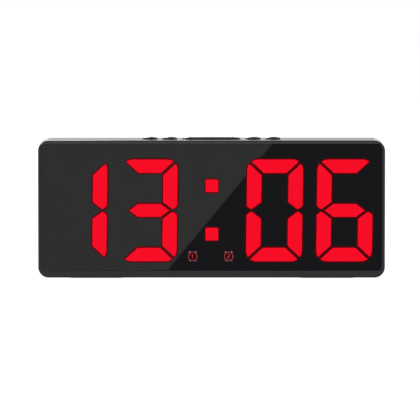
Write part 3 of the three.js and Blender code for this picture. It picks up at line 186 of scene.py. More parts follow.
finishes = {
    # ABS out of a polished mould: a black mirror, only just softened
    "absMouldedGlossBlack": {
        "base": {"IOR": 1.5}, "shades": ("#111115", "#151519"), "cloudMm": 14.0, "grainMm": 0.6,
        "rough": (0.08, 0.13), "relief": 0.02, "reliefMm": 0.01,
    },
    # ABS out of a spark-eroded mould: dull black with an even pebbled grain, drawn a little coarse to show
    "absMouldedTexturedBlack": {
        "base": {"IOR": 1.5}, "shades": ("#141416", "#19191c"), "cloudMm": 18.0, "grainMm": 0.45,
        "rough": (0.38, 0.5), "relief": 0.7, "reliefMm": 0.08,
    },
    # ABS out of a finely rubbed mould: a close satin, darker than the case, small highlights on the domes
    "absMouldedSatinBlack": {
        "base": {"IOR": 1.5}, "shades": ("#0f0f11", "#131315"), "cloudMm": 5.0, "grainMm": 0.4,
        "rough": (0.12, 0.18), "relief": 0.08, "reliefMm": 0.02,
    },
    # black polycarbonate, moulded matte so that the cells throw no light between the bars
    "polycarbonateMouldedMatteBlack": {
        "base": {"IOR": 1.58}, "shades": ("#050505", "#070708"), "cloudMm": 8.0, "grainMm": 0.3,
        "rough": (0.6, 0.7), "relief": 0.1, "reliefMm": 0.02,
    },
    # cast epoxy with red dye, unlit: almost black behind the smoked window
    "epoxyCastUnlit": {
        "base": {"IOR": 1.5}, "shades": ("#080606", "#0b0707"), "cloudMm": 3.0, "grainMm": 0.4,
        "rough": (0.5, 0.6), "relief": 0.1, "reliefMm": 0.02,
    },
    # green solder resist, screen printed over glass epoxy: slightly wavy, half gloss
    "solderResistPrintedGreen": {
        "base": {"IOR": 1.52}, "shades": ("#123d28", "#1b5236"), "cloudMm": 4.0, "grainMm": 0.8,
        "rough": (0.3, 0.42), "relief": 0.15, "reliefMm": 0.03,
    },
    # filled thermoplastic of switches, chip and connector: dull with a fine tooth
    "nylonMouldedDullBlack": {
        "base": {"IOR": 1.53}, "shades": ("#17171a", "#1f1f22"), "cloudMm": 3.0, "grainMm": 0.25,
        "rough": (0.45, 0.6), "relief": 0.2, "reliefMm": 0.03,
    },
    # spring steel, nickel plated after bending: bright with faint drawing lines
    "springSteelNickelPlated": {
        "base": {"Metallic": 1.0}, "shades": ("#b4b3ae", "#c9c8c2"), "cloudMm": 2.0, "grainMm": 0.3,
        "rough": (0.2, 0.34), "relief": 0.1, "reliefMm": 0.01,
    },
    # steel, zinc plated and passivated: bluish grey and a little cloudy
    "steelZincPlated": {
        "base": {"Metallic": 1.0}, "shades": ("#85888d", "#a3a6aa"), "cloudMm": 1.2, "grainMm": 0.2,
        "rough": (0.28, 0.42), "relief": 0.12, "reliefMm": 0.01,
    },
    # printed film shrunk on a steel can: plain metallic grey with a soft sheen
    "filmShrunkMetallicGrey": {
        "base": {"Metallic": 0.6, "IOR": 1.5}, "shades": ("#5d6670", "#69727c"), "cloudMm": 6.0,
        "grainMm": 0.4, "rough": (0.26, 0.34), "relief": 0.05, "reliefMm": 0.01,
    },
    # moulded rubber: dull black with a coarse dry tooth
    "rubberMouldedBlack": {
        "base": {"IOR": 1.52}, "shades": ("#19191a", "#232324"), "cloudMm": 3.0, "grainMm": 0.35,
        "rough": (0.72, 0.9), "relief": 0.5, "reliefMm": 0.05,
    },
    # soft PVC extruded over stranded wire: waxy, slightly uneven
    "pvcExtrudedRed": {
        "base": {"IOR": 1.53}, "shades": ("#9a1717", "#b52222"), "cloudMm": 2.0, "grainMm": 0.5,
        "rough": (0.38, 0.5), "relief": 0.15, "reliefMm": 0.02,
    },
    "pvcExtrudedBlack": {
        "base": {"IOR": 1.53}, "shades": ("#141415", "#1c1c1d"), "cloudMm": 2.0, "grainMm": 0.5,
        "rough": (0.38, 0.5), "relief": 0.15, "reliefMm": 0.02,
    },
}


def grainedMaterial(name):
    material, tree, shader, where = newMaterial(name, finishes[name]["base"])
    addGrain(tree, shader, where, finishes[name])
    return material


# acrylic sheet with smoke dye, polished: a dark mirror that lets the lit bars through
smokedSheet = {
    "tint": "#7c7c80", "ior": 1.49, "rough": (0.012, 0.03),
    "wipeMm": 30.0, "wipeDetail": 4.0, "wipeSpan": (0.35, 0.65),  # faint wiping marks, seen only in the gloss
}


def acrylicSmokedPolished():
    s = smokedSheet
    base = {"Base Color": linear(s["tint"]), "IOR": s["ior"], "Transmission Weight": 1.0}
    material, tree, shader, where = newMaterial("acrylicSmokedPolished", base)
    addUneven(tree, shader, where, s["wipeMm"], s["wipeDetail"], s["wipeSpan"], s["rough"])
    return material


# cast epoxy with red dye, lit from behind: its face glows evenly and its sides, in the cell, stay dark
litEpoxy = {
    "ior": 1.5, "rough": 0.5, "strength": 5.1, "turned": (-0.4, -0.6),  # facing at which the glow sets in
    "shades": ("#8c0a12", "#a00c16"), "cloudMm": 4.0, "cloudDetail": 2.0, "cloudSpan": (0.0, 1.0),
}
# share of the light and its colour: open, behind thin print, and leaking through the print
litKinds = {
    "epoxyCastLit": (1.0, "#fa0e26"),
    "epoxyCastDimlyLit": (0.43, "#ff8592"),
    "epoxyCastFaintlyLit": (0.042, "#ff0508"),
}


def epoxyCastLit(name, share, glow):
    s = litEpoxy
    base = {"IOR": s["ior"], "Roughness": s["rough"], "Emission Color": linear(glow)}
    material, tree, shader, where = newMaterial(name, base)
    outward = addNode(tree, "ShaderNodeTexCoord").outputs["Normal"]
    apart = addNode(tree, "ShaderNodeSeparateXYZ", None, {"Vector": outward})
    dark, full = s["turned"]
    limits = {"From Min": dark, "From Max": full, "To Min": 0.0, "To Max": s["strength"] * share}
    power = addNode(tree, "ShaderNodeMapRange", limits, {"Value": apart.outputs["Y"]})
    tree.links.new(power.outputs["Result"], shader.inputs["Emission Strength"])
    addMottle(tree, shader, where, s["cloudMm"], s["cloudDetail"], s["cloudSpan"], s["shades"])
    return material


materials = {name: grainedMaterial(name) for name in finishes}
materials["acrylicSmokedPolished"] = acrylicSmokedPolished()
for name, (share, glow) in litKinds.items():
    materials[name] = epoxyCastLit(name, share, glow)
print("materials made:", len(materials))

slotFinish = {
    "case_abs": "absMouldedGlossBlack",
    "button_abs": "absMouldedSatinBlack",
    "smoked_acrylic": "acrylicSmokedPolished",
    "lit_diffuser": "epoxyCastLit",
    "dark_diffuser": "epoxyCastUnlit",
    "reflector_plastic": "polycarbonateMouldedMatteBlack",
    "circuit_board": "solderResistPrintedGreen",
    "black_part": "nylonMouldedDullBlack",
    "plated_steel": "springSteelNickelPlated",
    "screw_steel": "steelZincPlated",
    "cell_jacket": "filmShrunkMetallicGrey",
    "foot_rubber": "rubberMouldedBlack",
    "red_lead": "pvcExtrudedRed",
    "black_lead": "pvcExtrudedBlack",
}
nodeSlot = {part["node"]: part["material_slot"] for part in frame["record"]["subparts"]}
nodeBody = {name: body for body, names in frame["record"]["behaviour"]["bodies"].items() for name in names}
weldMm = 0.001  # joins the corners that the frame's facets share

for name, node in nodes.items():
    node.data.materials.clear()
    node.data.materials.append(materials[slotFinish[nodeSlot[name]]])
    weld = node.modifiers.new("weld", "WELD")
    weld.merge_threshold = weldMm * mm
print("frame pieces dressed")


# Quarter of a circle in x and z, from the start angle on
def arc(cx, cz, radius, start, y, steps):
    angles = [radians(start + 90 * i / steps) for i in range(steps + 1)]
    return [Vector((cx + radius * cos(a), y, cz + radius * sin(a))) for a in angles]


# Rounded rectangle in x and z, drawn in by the inset
def rectRing(x0, x1, z0, z1, radius, y, steps, inset=0.0):
    low, high, left, right = z0 + radius, z1 - radius, x0 + radius, x1 - radius
    corners = ((right, low, -90), (right, high, 0), (left, high, 90), (left, low, 180))
    return [point for cx, cz, start in corners for point in arc(cx, cz, radius - inset, start, y, steps)]


def circle(radius, sides):
    angles = [2 * pi * i / sides for i in range(sides)]
    return [(radius * cos(a), radius * sin(a)) for a in angles]


# Circle about an axis; along is the place on that axis
def roundRing(centre, radius, axis, along, sides):
    spots = [(centre[0] + a, centre[1] + b) for a, b in circle(radius, sides)]
    return [Vector((along, a, b) if axis == "x" else (a, along, b)) for a, b in spots]


def loft(bm, rings, closed=False):
    rows = [[bm.verts.new(point) for point in ring] for ring in rings]
    pairs = list(zip(rows, rows[1:]))
    if closed:
        pairs.append((rows[-1], rows[0]))
    for a, b in pairs:
        for i in range(len(a)):
            j = (i + 1) % len(a)
            bm.faces.new((a[i], a[j], b[j], b[i]))
    if not closed:
        bm.faces.new(rows[0][::-1])
        bm.faces.new(rows[-1])


def block(bm, x0, x1, y0, y1, z0, z1):
    size = Matrix.Diagonal((x1 - x0, y1 - y0, z1 - z0, 1))
    place = Matrix.Translation(((x0 + x1) / 2, (y0 + y1) / 2, (z0 + z1) / 2))
    bmesh.ops.create_cube(bm, size=1, matrix=place @ size)


def drum(bm, centre, radius, y0, y1, sides=32):
    loft(bm, [roundRing(centre, radius, "y", y, sides) for y in (y0, y1)])


def makeObject(bm, name):
    bmesh.ops.recalc_face_normals(bm, faces=bm.faces[:])
    bmesh.ops.scale(bm, vec=(mm, mm, mm), verts=bm.verts[:])
    mesh = bpy.data.meshes.new(name)
    bm.to_mesh(mesh)
    bm.free()
    return addObject(name, mesh)


def loftPiece(rings, name, closed=False):
    bm = bmesh.new()
    loft(bm, rings, closed)
    return makeObject(bm, name)


cutPast = 1.0  # mm that a cutting shape stands out of what it cuts


# Joins or cuts with another mesh, which is used up
def combine(piece, bm, how):
    tool = makeObject(bm, "tool")
    change = piece.modifiers.new("change", "BOOLEAN")
    change.operation = how
    change.solver = "EXACT"
    change.use_self = True
    change.object = tool
    bpy.context.view_layer.update()
    made = bpy.data.meshes.new_from_object(piece.evaluated_get(bpy.context.evaluated_depsgraph_get()))
    old, used = piece.data, tool.data
    piece.modifiers.clear()
    piece.data = made
    made.name = piece.name
    bpy.data.objects.remove(tool)
    bpy.data.meshes.remove(old)
    bpy.data.meshes.remove(used)


edgeLook = {"segments": 2, "weight": 100}


def dressPiece(piece, node, sharp=50, edgeMm=0.0, finish=None):
    piece.data.materials.clear()
    piece.data.materials.append(materials[finish or slotFinish[nodeSlot[node]]])
    for polygon in piece.data.polygons:
        polygon.use_smooth = True
    if edgeMm:
        edge = piece.modifiers.new("edge", "BEVEL")
        edge.width = edgeMm * mm
        edge.segments = edgeLook["segments"]
        edge.limit_method = "ANGLE"
        edge.angle_limit = radians(sharp)
        edge.use_clamp_overlap = False
        edge.miter_outer = "MITER_ARC"
    else:
        piece.data.set_sharp_from_angle(angle=radians(sharp))
    shade = piece.modifiers.new("shade", "WEIGHTED_NORMAL")
    shade.keep_sharp = True
    shade.weight = edgeLook["weight"]
    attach(piece, nodeBody[node])
    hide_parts(node)


keys = ["set", "up", "snooze", "down", "alarm"]
capName = {key: "snooze_bar" if key == "snooze" else key + "_button" for key in keys}
caseScrews = [name for name in nodes if name.endswith("_case_screw")]
boardScrews = [name for name in nodes if name.endswith("_board_screw")]

shell = {
    "corner": 5.0, "cornerSteps": 16, "wall": 2.0, "frontRound": 0.6, "rearRound": 1.2, "roundSteps": 6,
    "seamRound": 0.15, "edge": 0.1, "gap": 0.05, "slide": 0.25,
    "crown": 0.06, "crownLength": 4.0, "crownSteps": 8,
    "windowCorner": 3.5, "windowPlay": 0.15, "windowEdge": 0.08, "windowEdgeSteps": 3,
    "ledge": 1.5, "ledgeThickness": 1.3, "bossRadius": 3.0, "bossWeb": 4.0, "bossFront": 0.25,
    "screwHole": 1.3, "screwRoom": 0.4, "boardHole": 1.1, "boardRoom": 0.5, "holeSides": 24,
    "tab": 2.0, "tabWidth": 8.0, "tabEnd": 3.5, "railLip": 2.0, "railWall": 1.5,
    "capLip": 0.7, "capTaper": 3.4, "footSunk": 0.8,
}
caseLow, caseHigh = boxMm("front_case")
coverLow, coverHigh = boxMm("rear_cover")
frontY, seamY, rearY = caseLow.y, caseHigh.y, coverHigh.y


def caseRing(inset, y):
    s = shell
    return rectRing(caseLow.x, caseHigh.x, caseLow.z, caseHigh.z, s["corner"], y, s["cornerSteps"], inset)


def windowRing(inset, y):
    s = shell
    low, high = boxMm("display_window")
    out = s["windowPlay"]
    ends = low.x - out, high.x + out, low.z - out, high.z + out
    return rectRing(*ends, s["windowCorner"], y, s["cornerSteps"], inset)


# Quarter round as pairs of inset and depth, from the side wall to the face
def quarter(radius, steps):
    angles = [pi / 2 * i / steps for i in range(steps + 1)]
    return [(radius * (1 - cos(a)), radius * (1 - sin(a))) for a in angles]


# Plan of a button: an ellipse, or a bar with elliptic ends
def planRing(x, y, halfLength, halfDepth, taper, z, sides=64):
    straight = halfLength - taper
    points = []
    for i in range(sides):
        angle = 2 * pi * (i + 0.5) / sides
        end = x + math.copysign(straight, cos(angle))
        points.append(Vector((end + taper * cos(angle), y + halfDepth * sin(angle), z)))
    return points


def capPlan(key):
    low, high = boxMm(capName[key])
    lip = shell["capLip"]
    halfLength = (high.x - low.x) / 2 - lip
    halfDepth = (high.y - low.y) / 2 - lip
    taper = shell["capTaper"] if key == "snooze" else halfLength
    return *middle(capName[key], "xy"), halfLength, halfDepth, taper


def frontCase():
    s = shell
    ledgeFrontY = boxMm("display_window")[1].y + s["gap"]
    ledgeBackY = ledgeFrontY + s["ledgeThickness"]
    rings = [caseRing(s["seamRound"], seamY), caseRing(0, seamY - s["seamRound"])]
    for i in range(s["crownSteps"]):  # the walls draw in very slightly towards the front
        share = i / s["crownSteps"]
        y = frontY + s["frontRound"] + s["crownLength"] * (1 - share)
        rings.append(caseRing(s["crown"] * share ** 2, y))
    for inset, depth in quarter(s["frontRound"], s["roundSteps"]):
        rings.append(caseRing(s["crown"] + inset, frontY + depth))
    for inset, depth in quarter(s["windowEdge"], s["windowEdgeSteps"]):
        rings.append(windowRing(-depth, frontY + inset))
    rings += [windowRing(0, ledgeFrontY), windowRing(s["ledge"], ledgeFrontY)]
    rings += [windowRing(s["ledge"], ledgeBackY), caseRing(s["wall"], ledgeBackY), caseRing(s["wall"], seamY)]
    piece = loftPiece(rings, "front_case_shell", True)

    innerLow, innerHigh = caseLow.z + s["wall"], caseHigh.z - s["wall"]
    sunk = s["wall"] / 2
    boardY = boxMm("main_board")[1].y
    startY, endY = boardY + s["bossFront"], coverBossEnd() - s["gap"]
    tabY = boardY + s["gap"]
    bm = bmesh.new()
    for name in caseScrews:
        x, z = middle(name)
        x0, x1 = sorted((x, math.copysign(caseHigh.x - sunk, x)))
        block(bm, x0, x1, startY, endY, z - s["bossWeb"] / 2, z + s["bossWeb"] / 2)
        drum(bm, (x, z), s["bossRadius"], startY, endY)
    for name in boardScrews:
        x, z = middle(name)
        under = z < middle("front_case")[1]
        z0 = innerLow - sunk if under else z - s["tabEnd"]
        z1 = z + s["tabEnd"] if under else innerHigh + sunk
        block(bm, x - s["tabWidth"] / 2, x + s["tabWidth"] / 2, tabY, tabY + s["tab"], z0, z1)
    low, high = boxMm("button_board")
    railTop, railBottom = high.z + s["slide"], low.z - s["slide"]
    railFoot, railHead = railBottom - s["railWall"], innerHigh + sunk
    inner = high.x + s["slide"]
    outer = inner + s["railWall"]
    for side in (-1, 1):
        x0, x1 = sorted((side * (high.x - s["railLip"]), side * outer))
        w0, w1 = sorted((side * inner, side * outer))
        block(bm, x0, x1, low.y, high.y, railTop, railHead)
        block(bm, x0, x1, low.y, high.y, railFoot, railBottom)
        block(bm, w0, w1, low.y, high.y, railFoot, railHead)
    combine(piece, bm, "UNION")

    gap = s["slide"]
    footTop = caseLow.z + s["footSunk"] + s["gap"]
    bm = bmesh.new()
    for key in keys:
        x, y, halfLength, halfDepth, taper = capPlan(key)
        sizes = halfLength + gap, halfDepth + gap, taper + gap
        loft(bm, [planRing(x, y, *sizes, z) for z in (innerHigh - gap, caseHigh.z + cutPast)])
    for name in caseScrews:
        startY = boxMm(name)[0].y - s["screwRoom"]
        drum(bm, middle(name), s["screwHole"], startY, seamY + cutPast, s["holeSides"])
    for name in boardScrews:
        startY, endY = boardY - s["boardRoom"], boardY + s["tab"] + cutPast
        drum(bm, middle(name), s["boardHole"], startY, endY, s["holeSides"])
    for side in ("left", "right"):
        loft(bm, [footRing(side, gap, z) for z in (caseLow.z - cutPast, footTop)])
    combine(piece, bm, "DIFFERENCE")
    dressPiece(piece, "front_case", edgeMm=s["edge"])


footPad = {"corner": 2.0, "steps": 10, "edge": 0.35, "edgeSteps": 5}


# Outline of a foot, laid flat
def footRing(side, grow, z):
    low, high = boxMm(side + "_foot_pad")
    ring = rectRing(low.x, high.x, low.y, high.y, footPad["corner"], z, footPad["steps"], -grow)
    return [Vector((p.x, p.z, p.y)) for p in ring]


def footPads():
    for side in ("left", "right"):
        low, high = boxMm(side + "_foot_pad")
        edges = quarter(footPad["edge"], footPad["edgeSteps"])[::-1]
        rings = [footRing(side, -inset, low.z + depth) for inset, depth in edges]
        rings.append(footRing(side, 0, high.z))
        dressPiece(loftPiece(rings, side + "_rubber_pad"), side + "_foot_pad")


rear = {
    "plate": 2.6, "seam": 0.15, "rimWall": 1.5, "rimDepth": 2.5, "bossRadius": 3.6, "bossHeight": 3.0,
    "bayWall": 1.5, "bayFloor": 1.5, "contactRoom": 0.05, "headHole": 2.3, "headSeat": 3.2, "headSides": 32,
    "noseHole": 3.45, "noseSides": 48, "soundHole": 0.8, "soundPitch": 3.2, "soundCount": 6, "soundSides": 24,
    "doorLip": 2.0, "doorCorner": 1.5,
    "fingerWidth": 14.0, "fingerHeight": 2.0, "fingerDepth": 1.1, "fingerCorner": 0.95, "fingerSteps": 8,
    "tongueWidth": 6.0, "tongueSpacing": 30.0, "tongueReach": 1.6, "tongueSweep": 3.5, "tongueSkin": 0.01,
    "stopWidth": 2.0, "stopInset": 8.0, "ribWall": 1.2, "ribReach": 6.0,
    "tabThickness": 0.8, "tabWidth": 3.4, "tabRoom": 0.4,
}


def coverBossEnd():
    return seamY - rear["bossHeight"]


def doorTop():
    return boxMm("battery_door")[1].z - rear["tongueReach"]


# Hinge line of the door in y and z
def hingeLine():
    half = doorPanel["thickness"] / 2
    return boxMm("battery_door")[1].y - half, doorTop() - half


def bayBox():
    x = boxMm("right_bridge_contact")[1].x + rear["contactRoom"]
    lowZ = boxMm("battery_door")[0].z + rear["doorLip"]
    return -x, x, coverLow.y + rear["bayFloor"], lowZ, doorTop() - rear["doorLip"]


def rearCover():
    s = rear
    startY = seamY + s["seam"]
    rings = [caseRing(shell["seamRound"], startY), caseRing(0, startY + shell["seamRound"])]
    for inset, depth in quarter(shell["rearRound"], shell["roundSteps"]):
        rings.append(caseRing(inset, rearY - depth))
    piece = loftPiece(rings, "rear_cover_shell")

    plateY = seamY + s["plate"] / 2
    rimY = seamY - s["rimDepth"]
    rimOut = shell["wall"] + shell["slide"]
    rimIn = rimOut + s["rimWall"]
    rim = ((rimOut, plateY), (rimOut, rimY), (rimIn, rimY), (rimIn, plateY))
    x0, x1, bayY, z0, z1 = bayBox()
    wall = s["bayWall"]
    bm = bmesh.new()
    loft(bm, [caseRing(inset, y) for inset, y in rim], True)
    block(bm, x0 - wall, x1 + wall, coverLow.y, plateY, z0 - wall, z1 + wall)
    for name in caseScrews:
        drum(bm, middle(name), s["bossRadius"], coverBossEnd(), plateY)
    low, high = boxMm("button_board")
    half = s["stopWidth"] / 2
    stopZ = low.z - s["stopWidth"], high.z + s["stopWidth"]
    for side in (-1, 1):
        x = side * (high.x - s["stopInset"])
        block(bm, x - half, x + half, high.y + shell["gap"], plateY, *stopZ)
    low, high = boxMm("power_socket")
    for near, side in ((low.x - shell["slide"], -1), (high.x + shell["slide"], 1)):
        a, b = sorted((near, near + side * s["ribWall"]))
        block(bm, a, b, seamY - s["ribReach"], plateY, low.z, high.z)
    combine(piece, bm, "UNION")

    doorLow, doorHigh = boxMm("battery_door")
    gap = shell["slide"]
    doorFace = doorHigh.y - doorPanel["thickness"]
    throughY, outY = seamY - cutPast, rearY + cutPast
    bm = bmesh.new()
    block(bm, x0, x1, bayY, outY, z0, z1)
    combine(piece, bm, "DIFFERENCE")
    bm = bmesh.new()
    loft(bm, [doorRing(gap, doorTop() + gap, y) for y in (doorFace - shell["gap"], outY)])
    combine(piece, bm, "DIFFERENCE")

    bm = bmesh.new()
    half = s["fingerWidth"] / 2
    ends = -half, half, doorLow.z - gap - s["fingerHeight"], doorLow.z + cutPast
    notchY = rearY - s["fingerDepth"], outY
    loft(bm, [rectRing(*ends, s["fingerCorner"], y, s["fingerSteps"]) for y in notchY])
    hingeY, hingeZ = hingeLine()
    wide = s["tongueWidth"] / 2 + gap
    sweep = s["tongueSweep"]
    top = doorTop() + s["tongueReach"] + gap
    for x in (-s["tongueSpacing"] / 2, s["tongueSpacing"] / 2):
        block(bm, x - wide, x + wide, hingeY - sweep, doorFace - s["tongueSkin"], hingeZ - sweep, top)
    halfY, halfZ = s["tabThickness"] / 2, s["tabWidth"] / 2
    for name, side in (("negative_contact", -1), ("positive_contact", 1)):
        y, z = middle(name, "yz")
        a, b = sorted((side * (x1 - s["tabRoom"]), side * (x1 + wall + cutPast)))
        block(bm, a, b, y - halfY, y + halfY, z - halfZ, z + halfZ)
    seatY = rearY - s["headSeat"]
    hole, head = shell["screwHole"], s["headHole"]
    bore = ((hole, coverBossEnd() - cutPast), (hole, seatY), (head, seatY), (head, outY))
    for name in caseScrews:
        loft(bm, [roundRing(middle(name), radius, "y", y, s["headSides"]) for radius, y in bore])
    drum(bm, middle("power_socket"), s["noseHole"], throughY, outY, s["noseSides"])
    x, z = middle("buzzer")
    for a, b in [(0, 0)] + circle(s["soundPitch"], s["soundCount"]):
        drum(bm, (x + a, z + b), s["soundHole"], throughY, outY, s["soundSides"])
    combine(piece, bm, "DIFFERENCE")
    dressPiece(piece, "rear_cover", edgeMm=shell["edge"], finish="absMouldedTexturedBlack")


doorPanel = {
    "thickness": 1.5, "edge": 0.12, "faceRound": 0.3, "cornerSteps": 8, "topSteps": 16,
    "tongueThickness": 1.1, "tongueRoot": 2.5,
    "latchWidth": 12.0, "latchDepth": 2.2, "latchThickness": 1.2, "latchGap": 0.3,
    "gripWidth": 13.0, "gripHeight": 0.8, "gripDepth": 0.5, "gripPitch": 1.7, "gripFoot": 2.4, "gripCount": 3,
    "gripCorner": 0.35, "gripSteps": 6,
}


# Outline of the door: square above, rounded below
def doorRing(grow, topZ, y, inset=0.0):
    low, high = boxMm("battery_door")
    steps = doorPanel["cornerSteps"]
    radius = rear["doorCorner"] + grow - inset
    x0, x1 = low.x - grow + inset, high.x + grow - inset
    cz = low.z - grow + inset + radius
    above = [Vector((x1, y, topZ)), Vector((x0, y, topZ))]
    return above + arc(x0 + radius, cz, radius, 180, y, steps) + arc(x1 - radius, cz, radius, 270, y, steps)


def batteryDoor():
    s = doorPanel
    low, high = boxMm("battery_door")
    innerY = high.y - s["thickness"]
    hingeY, hingeZ = hingeLine()
    half = s["thickness"] / 2
    rings = []
    for i in range(s["topSteps"] + 1):  # the top edge is a half round about the hinge line
        angle = pi * (i / s["topSteps"] - 0.5)
        y = hingeY + half * sin(angle)
        over = max(0.0, y - (high.y - s["faceRound"]))
        inset = s["faceRound"] - math.sqrt(max(0.0, s["faceRound"] ** 2 - over ** 2))
        rings.append(doorRing(0, hingeZ + half * cos(angle), y, inset))
    piece = loftPiece(rings, "battery_door_panel")
    backY = innerY - shell["slide"]
    tongueY = backY - s["tongueThickness"]
    rootZ = doorTop() - s["tongueRoot"]
    half = rear["tongueWidth"] / 2
    bm = bmesh.new()
    for x in (-rear["tongueSpacing"] / 2, rear["tongueSpacing"] / 2):
        block(bm, x - half, x + half, tongueY, hingeY, rootZ, doorTop() - s["thickness"])
        block(bm, x - half, x + half, tongueY, backY, rootZ, high.z)
    latchZ = bayBox()[3] + s["latchGap"]  # just over the foot of the bay
    half = s["latchWidth"] / 2
    block(bm, -half, half, innerY - s["latchDepth"], hingeY, latchZ, latchZ + s["latchThickness"])
    combine(piece, bm, "UNION")
    halfGrip, half = s["gripWidth"] / 2, s["gripHeight"] / 2
    gripY = high.y - s["gripDepth"], high.y + cutPast
    bm = bmesh.new()
    for i in range(s["gripCount"]):  # finger grooves over the notch
        z = low.z + s["gripFoot"] + i * s["gripPitch"]
        ends = -halfGrip, halfGrip, z - half, z + half
        loft(bm, [rectRing(*ends, s["gripCorner"], y, s["gripSteps"]) for y in gripY])
    combine(piece, bm, "DIFFERENCE")
    dressPiece(piece, "battery_door", edgeMm=s["edge"], finish="absMouldedTexturedBlack")


windowPane = {"chamfer": 0.06, "fill": 0.1, "steps": 16, "sharp": 30}


def displayWindow():
    s = windowPane
    low, high = boxMm("display_window")
    cut = s["chamfer"]
    radius = shell["windowCorner"] - shell["windowPlay"]
    rings = []
    for chamfer, y in ((cut, low.y), (0, low.y + cut), (0, high.y - cut), (cut, high.y)):
        inset = chamfer - s["fill"]  # closes most of the play round the pane
        rings.append(rectRing(low.x, high.x, low.z, high.z, radius, y, s["steps"], inset))
    dressPiece(loftPiece(rings, "smoked_window"), "display_window", s["sharp"])


frontCase()
rearCover()
batteryDoor()
displayWindow()
print("case, cover, door and window built")

caps = {
    "stemRadius": 1.6, "flange": 1.0, "stem": 1.2, "domeSteps": 14, "swell": 3.0, "sharp": 35,
    "ribPitch": 1.55, "ribWidth": 0.72, "ribRise": 0.3, "ribMargin": 3.1, "ribHalf": 1.9, "ribSteps": 12,
    "ribSides": 8, "ribFade": 4, "ribSink": 0.05, "ribRoot": 0.4,
}


def buttonCap(key):
    s = caps
    low, high = boxMm(capName[key])
    x, y, halfLength, halfDepth, taper = capPlan(key)
    lip = shell["capLip"]
    stemTop = low.z + s["stem"]
    flangeTop = stemTop + s["flange"]
    base = caseHigh.z
    rise = high.z - base - (s["ribRise"] if key == "snooze" else 0)
    stem = (s["stemRadius"],) * 3
    flange = halfLength + lip, halfDepth + lip, taper + lip
    plan = halfLength, halfDepth, taper
    foot = ((stem, low.z), (stem, stemTop), (flange, stemTop), (flange, flangeTop), (plan, flangeTop))
    rings = [planRing(x, y, *sizes, z) for sizes, z in foot]
    for i in range(s["domeSteps"]):
        angle = pi / 2 * i / s["domeSteps"]
        r = cos(angle) ** (2 / s["swell"])
        z = base + rise * sin(angle)
        rings.append(planRing(x, y, halfLength - taper + taper * r, halfDepth * r, taper * r, z))
    piece = loftPiece(rings, key + "_cap")
    if key == "snooze":
        bm = bmesh.new()
        count = math.floor((2 * halfLength - 2 * s["ribMargin"]) / s["ribPitch"]) + 1
        for i in range(count):
            snoozeRib(bm, x + (i - (count - 1) / 2) * s["ribPitch"], y, halfDepth, base, rise)
        combine(piece, bm, "UNION")
    dressPiece(piece, capName[key], s["sharp"])


# One grip rib across the bar: a low round ridge that follows the dome and runs out at both ends
def snoozeRib(bm, x, y, halfDepth, base, rise):
    s = caps
    half = s["ribWidth"] / 2
    rings = []
    for i in range(s["ribSteps"] + 1):
        t = 2 * i / s["ribSteps"] - 1
        across = t * s["ribHalf"]
        dome = base + rise * math.sqrt(1 - abs(across / halfDepth) ** s["swell"])
        proud = s["ribRise"] * (1 - t ** s["ribFade"])
        ring = []
        for k in range(s["ribSides"] + 1):
            angle = pi * k / s["ribSides"]
            z = dome - s["ribSink"] + (proud + s["ribSink"]) * sin(angle)
            ring.append(Vector((x + half * cos(angle), y + across, z)))
        for edge in (x - half, x + half):
            ring.append(Vector((edge, y + across, dome - s["ribRoot"])))
        rings.append(ring)
    loft(bm, rings)


footPads()
for key in keys:
    buttonCap(key)
print("foot pads and buttons built")

signs = {
    "dot": 6.03, "dotSpacing": 23.0, "dotCorner": 0.5, "cornerSteps": 6, "edge": 0.12, "sharp": 35,
    "signWidth": 6.2, "signHeight": 7.0, "signShift": -0.55, "relief": 0.5, "printDepth": 0.25,
    "ring": 2.05, "line": 0.21, "bell": (0.95, 0.55), "bellOff": 0.27, "lean": 33, "foot": 0.75,
    "figure": (1.1, 2.0), "leakDepth": 0.2, "seat": 0.02, "steps": 40, "barSteps": 6,
    "webWidth": 3.0, "webThickness": 0.5,
}


# Flat bar of a sign between two points, with round ends
def signBar(bm, a, b, thickness, y0, y1):
    along = math.atan2(b[1] - a[1], b[0] - a[0])
    half = thickness / 2
    ring = []
    for centre, start in ((b, along - pi / 2), (a, along + pi / 2)):
        for i in range(signs["barSteps"] + 1):
            angle = start + pi * i / signs["barSteps"]
            ring.append((centre[0] + half * cos(angle), centre[1] + half * sin(angle)))
    loft(bm, [[Vector((x, y, z)) for x, z in ring] for y in (y0, y1)])


# Alarm sign: a ring with two bells, two feet and its number
def alarmSign(bm, x, z, number, y0, y1):
    s = signs
    radius, line = s["ring"], s["line"]
    outer, inner = radius + line / 2, radius - line / 2
    band = ((outer, y1), (outer, y0), (inner, y0), (inner, y1))
    loft(bm, [roundRing((x, z), r, "y", y, s["steps"]) for r, y in band], True)
    length, thickness = s["bell"]
    half = (length - thickness) / 2
    away = outer + thickness / 2 + s["bellOff"]
    for side in (-1, 1):
        lean = side * radians(s["lean"])
        outX, outZ = sin(lean), cos(lean)
        bellX, bellZ = x + away * outX, z + away * outZ
        bell = [(bellX + h * outZ, bellZ - h * outX) for h in (-half, half)]
        signBar(bm, *bell, thickness, y0, y1)
        foot = [(x + r * outX, z - r * outZ) for r in (radius, radius + s["foot"])]
        signBar(bm, *foot, line, y0, y1)
    w, h = s["figure"][0] / 2, s["figure"][1] / 2
    strokes = {
        1: [(0, h, 0, -h), (0, h, -w, h - w)],
        2: [(-w, h, w, h), (w, h, w, 0), (w, 0, -w, 0), (-w, 0, -w, -h), (-w, -h, w, -h)],
    }[number]
    for ax, az, bx, bz in strokes:
        signBar(bm, (x + ax, z + az), (x + bx, z + bz), line, y0, y1)


